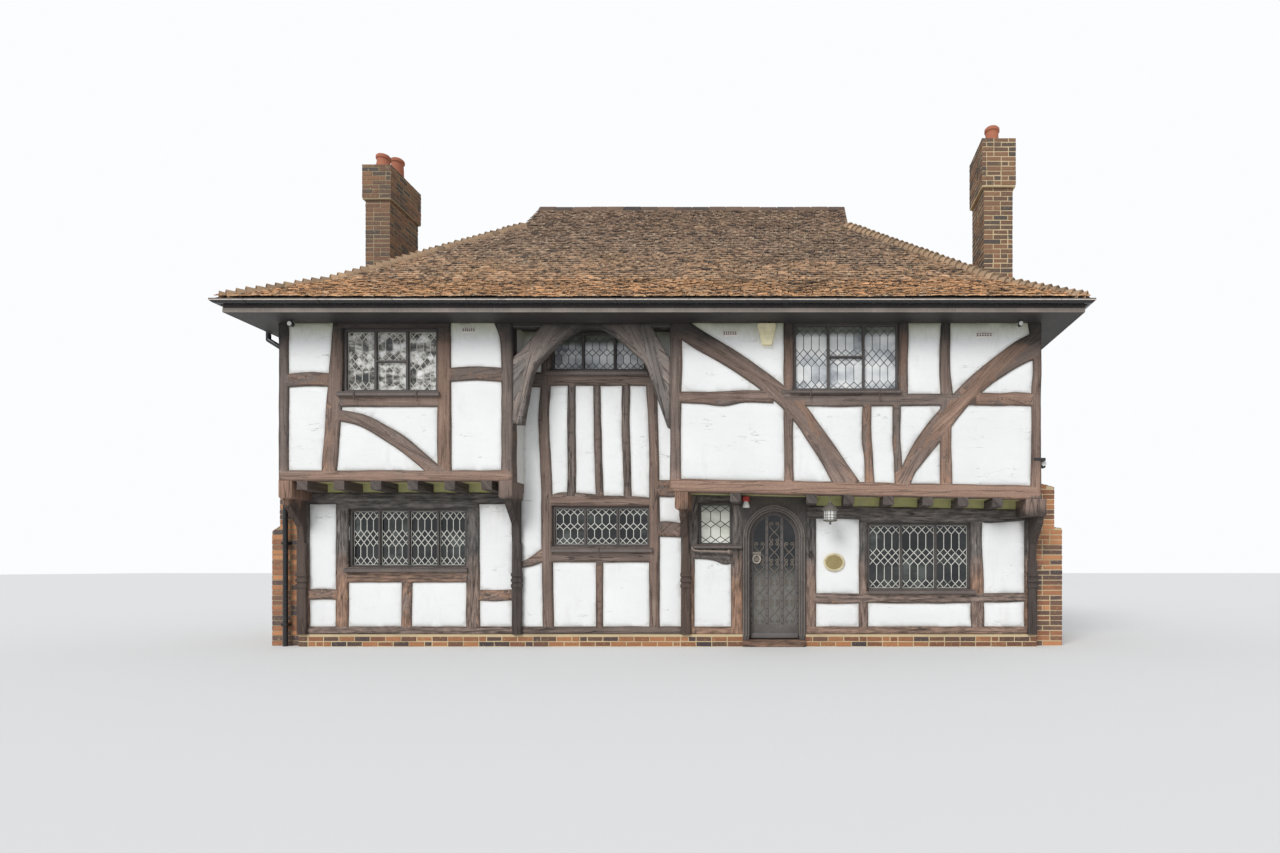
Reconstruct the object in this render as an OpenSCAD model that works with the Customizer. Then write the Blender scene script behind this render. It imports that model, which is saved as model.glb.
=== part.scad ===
// Jettied timber framed hall house: two close bays with overhanging upper floors, a recessed
// centre under a flying plate with curved braces, and a hipped roof with gablets.
// X runs along the front, the front faces -Y, and the ground is at Z = 0.

/* [Plan] */
// Half of the length along the front
half_len = 5375; // [5300:25:5500]
// Half of the depth of the upper floor
half_dep = 3300; // [3200:25:3400]
// How far the upper floor overhangs the ground floor wall
jetty = 420; // [380:10:460]
// Left end of the recess, seen from the front
recess_l = -2085; // [-2150:5:-2050]
// Right end of the recess
recess_r = 145; // [120:5:170]
// Thickness of the timber framed walls
wall = 180; // [160:5:200]
// How far the plaster lies behind the faces of the timbers
plaster_back = 24; // [15:1:35]
// Thickness of the wattle and plaster panels
plaster_th = 140; // [110:5:145]

/* [Levels] */
// Top of the brick plinth
plinth_top = 180; // [150:5:200]
// Top of the sill beams
sill_top = 290; // [270:5:310]
// Top of the ground floor
floor_top = 100; // [80:5:110]
// Underside of the jetty beam of the left bay
left_floor = 2390; // [2370:5:2420]
// Underside of the jetty beam of the right bay at the recess
right_floor = 2235; // [2215:5:2245]
// How steeply the right bay has sunk towards its outer end, as a fall over its length
right_fall = 0.02; // [0.01:0.005:0.02]
// Top of the wall panels and underside of the eaves boards
eaves = 4625; // [4600:5:4660]

/* [Roof] */
// How far the tiles reach past the upper walls
overhang = 485; // [460:5:500]
// Height of the tile edge
tile_edge = 4780; // [4770:5:4800]
// Width of the flatter stretch over the eaves
bell_run = 900; // [800:20:1000]
// Rise over run of the flatter stretch
bell_pitch = 0.65; // [0.6:0.01:0.7]
// Rise over run of the main slopes
main_pitch = 0.875; // [0.85:0.005:0.9]
// Thickness of rafters, battens and tiles, measured upright
roof_th = 150; // [130:5:170]
// How far in from the tile edge the hipped ends stop
gablet_in = 3000; // [2900:20:3100]

/* [Chimneys] */
// Top of the brick of the left stack
left_stack_top = 7990; // [7900:10:8100]
// Top of the brick of the right stack
right_stack_top = 7860; // [7750:10:7950]
// Width of the left stack along the front
left_stack_w = 410; // [380:5:450]
// Width of the right stack along the front
right_stack_w = 445; // [400:5:450]
// How far the brick back of the left fireplace stands out of the wall
left_back_out = 485; // [420:5:500]
// How far the brick back of the right fireplace stands out of the wall
right_back_out = 500; // [420:5:510]

/* [Door] */
// Middle of the doorway
door_x = 1602; // [1590:1:1615]
// Half of the width of the arched opening
door_half = 368; // [355:1:375]
// Height where the arch springs
door_spring = 1600; // [1560:5:1620]
// Rise of the pointed arch
door_rise = 395; // [380:5:400]
// Thickness of the door leaf
leaf_th = 55; // [45:1:60]
// Gap between the leaf and its frame
leaf_gap = 9; // [8:0.5:12]

/* [Hidden] */
$fn = 48;
front_up = -half_dep;
front_low = -half_dep + jetty;
back_face = half_dep;
edge_x = half_len + overhang;
edge_y = half_dep + overhang;
fascia_in = 55;
board = 22;
smooth = 4;
left_joist_h = 130;
right_joist_h = 125;
joist_w = 150;
deck = 30;
door_l = 1139;
door_r = 2066;
low_corners = [-2124, 236];
stop_th = 115;
gablet_x = edge_x - gablet_in;
gablet_y = edge_y - gablet_in;

// Underside of the right bay's jetty beam, which dips towards its outer end
function dip(x) = right_floor - right_fall * (x - recess_r);
function joist_foot(x) = dip(x) - right_joist_h;

// Height of the tiles at a distance in from the tile edge
function roof_z(d) = tile_edge + bell_pitch * min(d, bell_run) + main_pitch * max(d - bell_run, 0);

// Smooth curve through points that hold x, z and, for a timber, its width
function blend(a, b, c, d, t) =
    0.5 * (2 * b + (c - a) * t + (2 * a - 5 * b + 4 * c - d) * t * t + (3 * b - a - 3 * c + d) * t * t * t);
function through(p) = [
    for (i = [0:len(p) - 2])
        let (a = p[max(i - 1, 0)], d = p[min(i + 2, len(p) - 1)])
            for (k = [0:smooth - 1]) blend(a, p[i], p[i + 1], d, k / smooth),
    p[len(p) - 1]
];
function unit(v) = v / norm(v);
function side(q, i) =
    let (a = q[max(i - 1, 0)], b = q[min(i + 1, len(q) - 1)], t = unit([b[0] - a[0], b[1] - a[1]]))
        [-t[1], t[0]];
function flat(p) = [p[0], p[1]];
function reversed(p) = [for (i = [len(p) - 1:-1:0]) p[i]];

// A straight bar between two corners
module bar(x0, x1, z0, z1) {
    translate([x0, z0]) square([x1 - x0, z1 - z0]);
}

// A stud that leans: its foot and head each have their own left and right edges
module stud(foot, head, z0, z1) {
    polygon([[foot[0], z0], [foot[1], z0], [head[1], z1], [head[0], z1]]);
}

// A crooked timber along points of x, z and width
module timber(p) {
    q = through(p);
    up = [for (i = [0:len(q) - 1]) flat(q[i]) + side(q, i) * q[i][2] / 2];
    low = [for (i = [0:len(q) - 1]) flat(q[i]) - side(q, i) * q[i][2] / 2];
    polygon(concat(up, reversed(low)));
}

// Stands a drawing up as a wall that faces the front, its front at face
module upright(face, depth) {
    translate([0, face + depth, 0]) rotate([90, 0, 0]) linear_extrude(depth) children();
}

// Stands a drawing up along Y, from x to x + depth
module crosswise(x, depth) {
    translate([x, 0, 0]) rotate([90, 0, 90]) linear_extrude(depth) children();
}

module oak() {
    color([0.24, 0.18, 0.15]) children();
}

module lime() {
    color([0.93, 0.92, 0.88]) children();
}

module brick() {
    color([0.52, 0.27, 0.19]) children();
}

// The frame of a front wall: its timbers, kept inside the outline of the wall
module timbers_of(face) {
    oak() upright(face, wall) intersection() {
        children(0);
        children(1);
    }
}

// The panels between the timbers, which leave the windows open
module panels_of(face) {
    lime() upright(face + plaster_back, plaster_th) difference() {
        children(0);
        children(1);
        children(2);
    }
}

// Drawings of the left bay, upper floor
left_window = [-4483, -3137, 3638, 4541];
module left_bay_outline() bar(-half_len, recess_l, left_floor, eaves);
module left_bay_openings() bar(left_window[0], left_window[1], left_window[2], left_window[3]);
module left_bay_lines() {
    bar(-half_len, recess_l, left_floor, left_floor + 140);
    timber([[-5315, 2500, 135], [-5308, 3500, 120], [-5312, 4650, 130]]);
    timber([[-5300, 3800, 170], [-4930, 3822, 185], [-4550, 3800, 175]]);
    stud([-4772, -4571], [-4690, -4483], 2500, 3600);
    stud([-4690, -4483], [-4610, -4483], 3600, eaves);
    stud([-3137, -2948], [-3137, -2960], 2500, eaves);
    bar(-4500, -3100, left_window[3], eaves);
    timber([[-4650, 3500, 135], [-3850, 3508, 140], [-3100, 3500, 135]]);
    bar(-4500, -3120, 3560, left_window[2]);
    timber([[-3000, 3880, 190], [-2590, 3905, 180], [-2200, 3880, 190]]);
    timber([
        [-4640, 3325, 150], [-4216, 3245, 168], [-3872, 3062, 186], [-3566, 2860, 186], [-3060, 2420, 190]
    ]);
    timber([[-2158, 2500, 150], [-2160, 3500, 146], [-2165, 4300, 160], [-2210, 4650, 260]]);
}

// Drawings of the hall wall at the back of the recess
hall_upper = [-1690, -285, 4052, eaves + 15];
hall_lower = [-1668, -232, 1467, 2072];
module hall_outline() polygon([
    [low_corners[0], plinth_top], [low_corners[1], plinth_top], [low_corners[1], dip(low_corners[1])],
    [recess_r, dip(recess_r)], [recess_r, eaves + 15], [recess_l, eaves + 15],
    [recess_l, left_floor - left_joist_h], [low_corners[0], left_floor - left_joist_h]
]);
module hall_openings() {
    bar(hall_upper[0], hall_upper[1], hall_upper[2], hall_upper[3]);
    bar(hall_lower[0], hall_lower[1], hall_lower[2], hall_lower[3]);
}
module hall_lines() {
    bar(low_corners[0], low_corners[1], plinth_top, sill_top);
    timber([
        [-1720, 250, 150], [-1740, 1600, 150], [-1743, 2200, 154], [-1780, 3100, 140], [-1790, 3400, 144],
        [-1765, 3750, 134], [-1752, 4050, 130], [-1745, 4650, 124]
    ]);
    timber([[-160, 250, 140], [-162, 1800, 148], [-170, 3000, 130], [-215, 4050, 140], [-225, 4650, 140]]);
    timber([[-2085, 3910, 190], [-1900, 3925, 210], [-1750, 3910, 200]]);
    bar(-1700, -220, 3842, hall_upper[2]);
    timber([[-1380, 2180, 110], [-1376, 2700, 112], [-1384, 3300, 108], [-1378, 3900, 112]]);
    timber([[-962, 2180, 103], [-985, 2700, 100], [-1000, 3300, 98], [-1010, 3900, 98]]);
    timber([[-556, 2180, 98], [-566, 2700, 106], [-585, 3300, 110], [-578, 3900, 112]]);
    timber([
        [-1720, 2130, 130], [-1560, 2163, 188], [-1300, 2163, 188], [-900, 2143, 156], [-600, 2137, 146],
        [-180, 2115, 136]
    ]);
    bar(-1700, -220, 1244, hall_lower[2]);
    bar(-1014, -923, sill_top, 1300);
    timber([[-2140, 1190, 70], [-1957, 1253, 120], [-1813, 1333, 165], [-1740, 1370, 175]]);
    timber([[-160, 2330, 230], [20, 2325, 240], [240, 2330, 235]]);
    timber([[-160, 1720, 200], [20, 1728, 215], [240, 1712, 205]]);
}

// Drawings of the right bay, upper floor
right_window = [1878, 3375, 3660, 4622];
module right_bay_outline() polygon([
    [recess_r, dip(recess_r)], [half_len, dip(half_len)], [half_len, eaves], [recess_r, eaves]
]);
module right_bay_openings() bar(right_window[0], right_window[1], right_window[2], right_window[3]);
module right_bay_lines() {
    polygon([
        [recess_r, dip(recess_r)], [half_len, dip(half_len)],
        [half_len, dip(half_len) + 182], [recess_r, dip(recess_r) + 178]
    ]);
    timber([[216, 2350, 146], [216, 3300, 148], [222, 3900, 164], [222, 4300, 170], [225, 4650, 186]]);
    timber([
        [150, 4660, 270], [480, 4420, 262], [860, 4200, 250], [1230, 3960, 238], [1610, 3680, 244],
        [1925, 3395, 250], [2160, 3080, 262], [2400, 2720, 282], [2660, 2300, 330]
    ]);
    timber([[250, 3572, 150], [600, 3560, 165], [900, 3545, 195], [1200, 3580, 165], [1600, 3570, 165]]);
    timber([[1822, 2250, 130], [1815, 2800, 120], [1812, 3350, 122], [1815, 4000, 128], [1812, 4650, 128]]);
    timber([[3436, 3560, 116], [3434, 4100, 120], [3440, 4650, 124]]);
    timber([[1850, 3528, 150], [2500, 3515, 150], [3200, 3528, 165], [4030, 3532, 160]]);
    bar(1860, 3390, 3600, right_window[2]);
    timber([[2960, 2250, 126], [2945, 2700, 112], [2915, 3000, 124], [2922, 3500, 116]]);
    timber([[3366, 2250, 96], [3356, 2700, 104], [3335, 3000, 100], [3342, 3500, 112]]);
    timber([[4040, 2250, 165], [4030, 3100, 150], [4045, 3600, 165], [4015, 4000, 140], [4035, 4650, 120]]);
    timber([
        [3420, 2250, 160], [3500, 2520, 190], [3640, 2760, 250], [3860, 3060, 290], [4130, 3400, 262],
        [4440, 3730, 262], [4800, 4010, 280], [5150, 4230, 330], [5400, 4330, 380]
    ]);
    timber([[4450, 3540, 175], [4800, 3535, 165], [5000, 3545, 180], [5330, 3520, 165]]);
    timber([[5305, 2250, 150], [5312, 3000, 128], [5308, 3600, 122], [5325, 4000, 105], [5290, 4650, 190]]);
}

// Drawings of the ground floor under the left bay
low_left_window = [-4660, -2925, 1160, 2030];
module low_left_outline() bar(-half_len, low_corners[0], plinth_top, left_floor - left_joist_h);
module low_left_lines() {
    bar(-half_len, low_corners[0], plinth_top, sill_top);
    bar(-half_len, low_corners[0], low_left_window[3] + 70, left_floor - left_joist_h);
    bar(-half_len, -5240, sill_top, 2200);
    stud([-4845, -4670], [-4835, -4660], sill_top, 2200);
    stud([-2925, -2735], [-2925, -2745], sill_top, 2200);
    bar(-2252, low_corners[0], sill_top, 2200);
    bar(-4700, -2900, low_left_window[3], 2120);
    bar(-4700, -2900, 950, low_left_window[2]);
    timber([[-5300, 760, 140], [-5040, 772, 150], [-4760, 760, 140]]);
    timber([[-2850, 760, 140], [-2500, 750, 150], [-2180, 765, 140]]);
    stud([-3880, -3740], [-3870, -3730], sill_top, 1000);
}

// Drawings of the ground floor beside the doorway, under the right bay
low_side_window = [476, 986, 1482, 2126];
module low_mid_outline() difference() {
    polygon([
        [low_corners[1], plinth_top], [door_l, plinth_top], [door_l, dip(door_l)],
        [low_corners[1], dip(low_corners[1])]
    ]);
    joist_ends();
}
module low_mid_lines() {
    bar(low_corners[1], door_l, plinth_top, sill_top);
    bar(low_corners[1], door_l, low_side_window[3], right_floor);
    bar(low_corners[1], 422, sill_top, right_floor);
    bar(400, low_side_window[0], 1300, right_floor);
    bar(972, door_l, sill_top, right_floor);
    timber([[300, 1400, 210], [560, 1390, 192], [760, 1375, 230], [900, 1350, 272], [1050, 1400, 210]]);
}

low_right_window = [2966, 4492, 819, 1822];
module low_right_outline() polygon([
    [door_r, plinth_top], [half_len, plinth_top],
    [half_len, joist_foot(half_len)], [door_r, joist_foot(door_r)]
]);
module low_right_lines() {
    bar(door_r, half_len, plinth_top, sill_top);
    timber([[2000, 1975, 190], [2500, 1978, 178], [3000, 1965, 200], [3700, 1950, 230], [4500, 1960, 220],
        [4800, 1940, 235], [5400, 1960, 190]]);
    bar(2900, 4560, low_right_window[3], 1950);
    polygon([[door_r, 1960], [half_len, 1960], [half_len, 2200], [door_r, 2200]]);
    bar(door_r, 2212, sill_top, 2050);
    stud([2850, 2976], [2860, 2980], sill_top, 1950);
    timber([[4596, 230, 180], [4590, 700, 188], [4570, 1100, 196], [4556, 1600, 180], [4570, 1950, 196]]);
    timber([[2900, 712, 130], [3800, 705, 130], [4700, 716, 130], [5300, 728, 120]]);
    bar(2900, 4560, 765, low_right_window[2]);
    timber([[2100, 712, 130], [2500, 705, 140], [2900, 712, 130]]);
    bar(5285, half_len, sill_top, 2050);
}

// The three stretches of the ground floor's front wall together
module ground_front_outline() {
    low_left_outline();
    low_mid_outline();
    low_right_outline();
}
module ground_front_openings() {
    for (w = [low_left_window, low_side_window, low_right_window])
        bar(w[0], w[1], w[2], w[3]);
}
module ground_front_lines() {
    low_left_lines();
    low_mid_lines();
    low_right_lines();
}

// Walls of the sides and the back, with studs at even spacing
side_a = front_up + wall;
side_low = front_low + wall;
side_b = back_face - wall;
girt_low = 1150;
girt_up = 3250;
module plain_lines(a, b, z0, z1, bays, girt) {
    bar(a, b, z0, z0 + 110);
    bar(a, b, z1 - 60, z1);
    bar(a, b, girt - 80, girt + 80);
    for (i = [0:bays]) {
        x = a + 70 + (b - a - 140) * i / bays;
        lean = 18 * sin(i * 137);
        stud([x - 70 + lean, x + 70 + lean], [x - 66 - lean, x + 66 - lean], z0, z1);
    }
}
module window_trim(w) {
    bar(w[0] - 120, w[1] + 120, w[2] - 130, w[3] + 110);
}

left_stack_y = [-1260, -375];
right_stack_y = [-2200, -1530];
right_stack_in = 60;
side_windows = [[1280, 2220, 900, 1700], [1280, 2220, 3300, 4200]];
module side_outline(level) polygon([
    [side_low, plinth_top], [side_b, plinth_top], [side_b, eaves],
    [side_a, eaves], [side_a, level], [side_low, level]
]);
module side_openings(stack) {
    for (w = side_windows)
        bar(w[0], w[1], w[2], w[3]);
    bar(stack[0], stack[1], 0, eaves + 10);
}
module side_lines(level, stack) {
    difference() {
        union() {
            plain_lines(side_low, side_b, plinth_top, level, 6, girt_low);
            plain_lines(side_a, side_b, level, eaves, 7, girt_up);
            for (w = side_windows)
                window_trim(w);
            timber([[-3060, 4560, 190], [-2700, 4300, 200], [-2480, 3900, 200], [-2420, 3250, 190]]);
            timber([[3060, 4560, 190], [2800, 4350, 190], [2620, 4100, 190], [2560, 3300, 180]]);
        }
        side_openings(stack);
    }
}

back_windows = [
    for (x = [-3750, 0, 3500])
        for (z = [[950, 1800], [3450, 4350]])
            [x - 640, x + 640, z[0], z[1]]
];
module back_outline() bar(-half_len, half_len, plinth_top, eaves);
module back_openings() {
    for (w = back_windows)
        bar(w[0], w[1], w[2], w[3]);
}
module back_lines() {
    difference() {
        union() {
            plain_lines(-half_len, half_len, plinth_top, right_floor, 12, girt_low);
            plain_lines(-half_len, half_len, right_floor, eaves, 12, girt_up);
            for (w = back_windows)
                window_trim(w);
            for (s = [-1, 1])
                timber([
                    [s * 5300, 4520, 200], [s * 4980, 4200, 220], [s * 4800, 3800, 220], [s * 4700, 3200, 200]
                ]);
        }
        back_openings();
    }
}

// Frames and panels, one wall after another
module left_bay_timbers() timbers_of(front_up) {
    left_bay_outline();
    difference() {
        left_bay_lines();
        left_bay_openings();
    }
}
module left_bay_plaster() panels_of(front_up) {
    left_bay_outline();
    left_bay_lines();
    left_bay_openings();
}
module hall_timbers() timbers_of(front_low) {
    hall_outline();
    difference() {
        hall_lines();
        hall_openings();
    }
}
module hall_plaster() panels_of(front_low) {
    hall_outline();
    hall_lines();
    hall_openings();
}
module right_bay_timbers() timbers_of(front_up) {
    right_bay_outline();
    difference() {
        right_bay_lines();
        right_bay_openings();
    }
}
module right_bay_plaster() panels_of(front_up) {
    right_bay_outline();
    right_bay_lines();
    right_bay_openings();
}
module ground_front_timbers() timbers_of(front_low) {
    ground_front_outline();
    difference() {
        ground_front_lines();
        ground_front_openings();
    }
}
module ground_front_plaster() panels_of(front_low) {
    ground_front_outline();
    ground_front_lines();
    ground_front_openings();
}
module back_timbers() {
    oak() upright(back_face - wall, wall) intersection() {
        back_outline();
        back_lines();
    }
}
module back_plaster() {
    lime() upright(back_face - plaster_back - plaster_th, plaster_th) difference() {
        back_outline();
        back_lines();
        back_openings();
    }
}
module side_frame(x, level, stack) {
    crosswise(x, wall) intersection() {
        side_outline(level);
        side_lines(level, stack);
    }
}
module side_panels(x, level, stack) {
    crosswise(x, plaster_th) difference() {
        side_outline(level);
        side_lines(level, stack);
        side_openings(stack);
    }
}
module left_side_timbers() oak() side_frame(-half_len, left_floor, left_stack_y);
module left_side_plaster() lime() side_panels(-half_len + plaster_back, left_floor, left_stack_y);
right_level = dip(half_len - wall);
module right_side_timbers() oak() side_frame(half_len - wall, right_level, right_stack_y);
module right_side_plaster() {
    lime() side_panels(half_len - plaster_back - plaster_th, right_level, right_stack_y);
}

// Short walls that close the sides of the recess
return_th = 100;
module recess_returns() {
    lime() {
        crosswise(recess_l - return_th, return_th) bar(side_a, side_low, left_floor, eaves);
        crosswise(recess_r, return_th) bar(side_a, side_low, dip(recess_r), eaves);
    }
}

// The curved braces that spring from the two bays up to the flying plate
brace_th = 130;
plate_low = 4565;
module recess_braces() {
    oak() upright(front_up + 20, brace_th) intersection() {
        bar(recess_l, recess_r, 3000, eaves);
        union() {
            polygon(concat(
                through([[recess_l, 3198], [recess_l, 3700], [recess_l, 4086], [-1928, 4269], [-1659, 4600]]),
                [[-1101, 4600]],
                through([
                    [-1101, 4575], [-1349, 4435], [-1597, 4208], [-1763, 4022], [-1845, 3776], [-1949, 3195]
                ])
            ));
            polygon(concat(
                through([[recess_r, 3133], [recess_r, 3600], [recess_r, 4060], [-7, 4353], [-131, 4600]]),
                [[-860, 4600]],
                through([
                    [-860, 4575], [-647, 4435], [-399, 4228], [-213, 4043],
                    [-131, 3836], [-27, 3525], [97, 3153]
                ])
            ));
            bar(recess_l, recess_r, plate_low, eaves);
        }
    }
}

// Wall plates, whose tops are cut to the slope of the roof
module plate_profile(edge) {
    top = roof_z(overhang) - roof_th;
    polygon([[edge, eaves], [edge + wall, eaves], [edge + wall, top + bell_pitch * wall], [edge, top]]);
}
module long_plates() {
    oak() for (turn = [0, 180])
        rotate([0, 0, turn]) crosswise(-half_len + wall, 2 * (half_len - wall)) plate_profile(front_up);
}
module end_plates() {
    reach = 600;
    oak() difference() {
        for (turn = [0, 180])
            rotate([0, 0, 90 + turn]) crosswise(-half_dep, 2 * half_dep) plate_profile(-half_len);
        stack_shafts();
        for (turn = [0, 180])
            rotate([0, 0, turn]) crosswise(-half_len - 10, 2 * half_len + 20) polygon([
                [front_up - 10, roof_z(overhang - 10) - roof_th],
                [front_up - 10, over_roof],
                [front_up + reach, over_roof],
                [front_up + reach, roof_z(overhang + reach) - roof_th],
                [front_up + bell_run - overhang, roof_z(bell_run) - roof_th]
            ]);
    }
}

// Roof slopes, cut from one profile: the tiles on top, the rafters' undersides below
roof_top = roof_z(edge_y);
seat = 110;
fascia_top = 4760;
under_roof = 4500;
over_roof = 8500;
module slope_profile(edge) {
    polygon([
        [-edge, tile_edge],
        [-edge + bell_run, roof_z(bell_run)],
        [-edge + edge_y, roof_top],
        [-edge + edge_y, roof_top - roof_th],
        [-edge + bell_run, roof_z(bell_run) - roof_th],
        [-edge + seat, roof_z(seat) - roof_th],
        [-edge + seat, fascia_top],
        [-edge, fascia_top]
    ]);
}
module from_plan() {
    translate([0, 0, under_roof]) linear_extrude(over_roof - under_roof) children();
}
module front_plan() polygon([
    [-edge_x, -edge_y], [edge_x, -edge_y], [gablet_x, -gablet_y],
    [gablet_x, 0], [-gablet_x, 0], [-gablet_x, -gablet_y]
]);
module end_plan() polygon([
    [-edge_x, -edge_y], [-edge_x, edge_y], [-gablet_x, gablet_y], [-gablet_x, -gablet_y]
]);
module tiles() {
    color([0.42, 0.28, 0.19]) children();
}
module long_slope(turn) {
    tiles() rotate([0, 0, turn]) intersection() {
        from_plan() front_plan();
        crosswise(-edge_x, 2 * edge_x) slope_profile(edge_y);
    }
}
module end_slope(turn) {
    tiles() difference() {
        rotate([0, 0, turn]) intersection() {
            from_plan() end_plan();
            upright(-edge_y, 2 * edge_y) slope_profile(edge_x);
        }
        stack_shafts();
    }
}
module front_slope() long_slope(0);
module back_slope() long_slope(180);
module left_slope() end_slope(0);
module right_slope() end_slope(180);

// Small upright gables over the hipped ends
gablet_th = 60;
module gablets() {
    foot = roof_z(gablet_in) - roof_th;
    oak() for (turn = [0, 180])
        rotate([0, 0, turn]) crosswise(gablet_x - gablet_th, gablet_th)
            polygon([[-gablet_y, foot], [gablet_y, foot], [0, roof_top - roof_th]]);
}

// Half round ridge tiles, and the raised lines of bonnet tiles down the hips
ridge_r = 120;
ridge_sink = 50;
hip_cap = 45;
hip_half = 110;
hip_start = 30;
module ridge_line() {
    crosswise(-gablet_x, 2 * gablet_x) difference() {
        translate([0, roof_top - ridge_sink]) circle(ridge_r);
        polygon([
            [-400, roof_top - 400 * main_pitch], [0, roof_top], [400, roof_top - 400 * main_pitch],
            [400, roof_top - 600], [-400, roof_top - 600]
        ]);
    }
}
module hip_strip(along_x, along_y) {
    reach = hip_half * sqrt(2);
    polygon([
        [-edge_x + hip_start, -edge_y + hip_start],
        [-gablet_x, -gablet_y],
        [-gablet_x - along_y * reach, -gablet_y - along_x * reach],
        [-edge_x + hip_start + along_x * reach, -edge_y + hip_start + along_y * reach]
    ]);
}
module cap_profile(edge) {
    polygon([
        [-edge, tile_edge + hip_cap],
        [-edge + bell_run, roof_z(bell_run) + hip_cap],
        [-edge + edge_y, roof_top + hip_cap],
        [-edge + edge_y, roof_top],
        [-edge + bell_run, roof_z(bell_run)],
        [-edge, tile_edge]
    ]);
}
module hip_line() {
    intersection() {
        from_plan() hip_strip(1, 0);
        crosswise(-edge_x, edge_x) cap_profile(edge_y);
    }
    intersection() {
        from_plan() hip_strip(0, 1);
        upright(-edge_y, edge_y) cap_profile(edge_x);
    }
}
module ridge_and_hips() {
    tiles() {
        ridge_line();
        for (turn = [0, 180])
            rotate([0, 0, turn]) {
                hip_line();
                mirror([1, 0, 0]) hip_line();
            }
    }
}

// Eaves boards: a level soffit and the fascia that the gutter hangs on, mitred at the corners
soffit_th = 20;
mitre = 1000;
module eaves_profile(edge) {
    polygon([
        [-edge + fascia_in, eaves - soffit_th],
        [-edge + overhang, eaves - soffit_th],
        [-edge + overhang, eaves],
        [-edge + fascia_in + board, eaves],
        [-edge + fascia_in + board, fascia_top],
        [-edge + fascia_in, fascia_top]
    ]);
}
module long_mitre(grow) polygon([
    [-edge_x - grow, -edge_y - grow], [edge_x + grow, -edge_y - grow],
    [edge_x - mitre, -edge_y + mitre], [-edge_x + mitre, -edge_y + mitre]
]);
module end_mitre(grow) polygon([
    [-edge_x - grow, -edge_y - grow], [-edge_x - grow, edge_y + grow],
    [-edge_x + mitre, edge_y - mitre], [-edge_x + mitre, -edge_y + mitre]
]);
module long_eaves() {
    oak() {
        for (turn = [0, 180])
            rotate([0, 0, turn]) intersection() {
                crosswise(-edge_x, 2 * edge_x) eaves_profile(edge_y);
                from_plan() long_mitre(0);
            }
        translate([recess_l, side_a, eaves + 15]) cube([recess_r - recess_l, jetty, soffit_th]);
    }
}
module end_eaves() {
    oak() for (turn = [0, 180])
        rotate([0, 0, turn]) intersection() {
            upright(-edge_y, 2 * edge_y) eaves_profile(edge_x);
            from_plan() end_mitre(0);
        }
}

// Half round gutters, mitred at the corners, and the downpipes
gutter_r = 55;
gutter_th = 5;
gutter_z = fascia_top - 5;
module gutter_profile() {
    difference() {
        circle(gutter_r);
        circle(gutter_r - gutter_th);
        translate([-2 * gutter_r, 0]) square(4 * gutter_r);
    }
    translate([gutter_r - gutter_th, -gutter_r + 15]) square([gutter_th, gutter_r - 15]);
}
module plastic() {
    color([0.1, 0.1, 0.11]) children();
}
module gutters() {
    at = fascia_in - gutter_r;
    plastic() for (turn = [0, 180])
        rotate([0, 0, turn]) {
            intersection() {
                translate([0, -edge_y + at, gutter_z])
                    crosswise(-edge_x - 200, 2 * edge_x + 400) gutter_profile();
                from_plan() long_mitre(200);
            }
            intersection() {
                translate([-edge_x + at, 0, gutter_z])
                    upright(-edge_y - 200, 2 * edge_y + 400) gutter_profile();
                from_plan() end_mitre(200);
            }
        }
}

pipe_r = 34;
pipe_gap = 16;
pipe_x = -half_len - pipe_gap - pipe_r;
left_pipe_x = -5610;
left_pipe_y = -2830;
strap_lap = 4;
strap_h = 40;
module pipe_run(from, to) {
    run = to - from;
    translate(from) rotate([0, acos(run[2] / norm(run)), atan2(run[1], run[0])])
        cylinder(h = norm(run), r = pipe_r);
}
module pipe(route) {
    for (i = [0:len(route) - 2])
        pipe_run(route[i], route[i + 1]);
    for (i = [1:len(route) - 2])
        translate(route[i]) sphere(pipe_r);
}
module wall_strap(z) {
    translate([pipe_x - pipe_r - strap_lap, -pipe_r - strap_lap, z])
        cube([2 * pipe_r + strap_lap + pipe_gap, 2 * (pipe_r + strap_lap), strap_h]);
}
module brick_strap(z) {
    translate([left_pipe_x - pipe_r - strap_lap, -pipe_r - strap_lap, z])
        cube([2 * (pipe_r + strap_lap), back_front - left_pipe_y + pipe_r + strap_lap, strap_h]);
}
pipe_head = [[pipe_x, 0, 4250], [-edge_x, 0, 4520], [-edge_x, 0, gutter_z - gutter_r]];
module downpipes() {
    plastic() {
        translate([0, left_pipe_y, 0]) {
            pipe(concat([[left_pipe_x, 0, 0], [left_pipe_x, 0, 2360], [pipe_x, 0, 2560]], pipe_head));
            for (z = [300, 1500])
                brick_strap(z);
            for (z = [2700, 3900])
                wall_strap(z);
        }
        rotate([0, 0, 180]) translate([0, -2700, 0]) {
            pipe(concat([[pipe_x, 0, 0]], pipe_head));
            for (z = [300, 1500, 2700, 3900])
                wall_strap(z);
        }
    }
}

// Brick stacks: the shafts stand in the side walls, the broad backs of the fireplaces outside them
right_shaft_x = half_len - right_stack_in - right_stack_w;
module shaft(x, width, y, foot, top, out) {
    translate([x - out, y[0] - out, foot]) cube([width + 2 * out, y[1] - y[0] + 2 * out, top - foot]);
}
module left_shaft() shaft(-half_len, left_stack_w, left_stack_y, 0, left_stack_top, 0);
module right_shaft() shaft(right_shaft_x, right_stack_w, right_stack_y, 0, right_stack_top, 0);
module stack_shafts() {
    left_shaft();
    right_shaft();
}
back_front = -2750;
back_step = 115;
left_step_z = 1780;
right_step_z = 1760;
module fireplace_back(out, step, fall, high) {
    polygon([
        [0, 0], [-out, 0], [-out, step - fall], [-out + back_step, step], [-out + back_step, high - 90],
        [-30, high], [0, high]
    ]);
}
left_back_top = 2300;
right_back_top = 2450;
left_head_foot = 7405;
right_head_foot = 7105;
left_head_out = 36;
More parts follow.
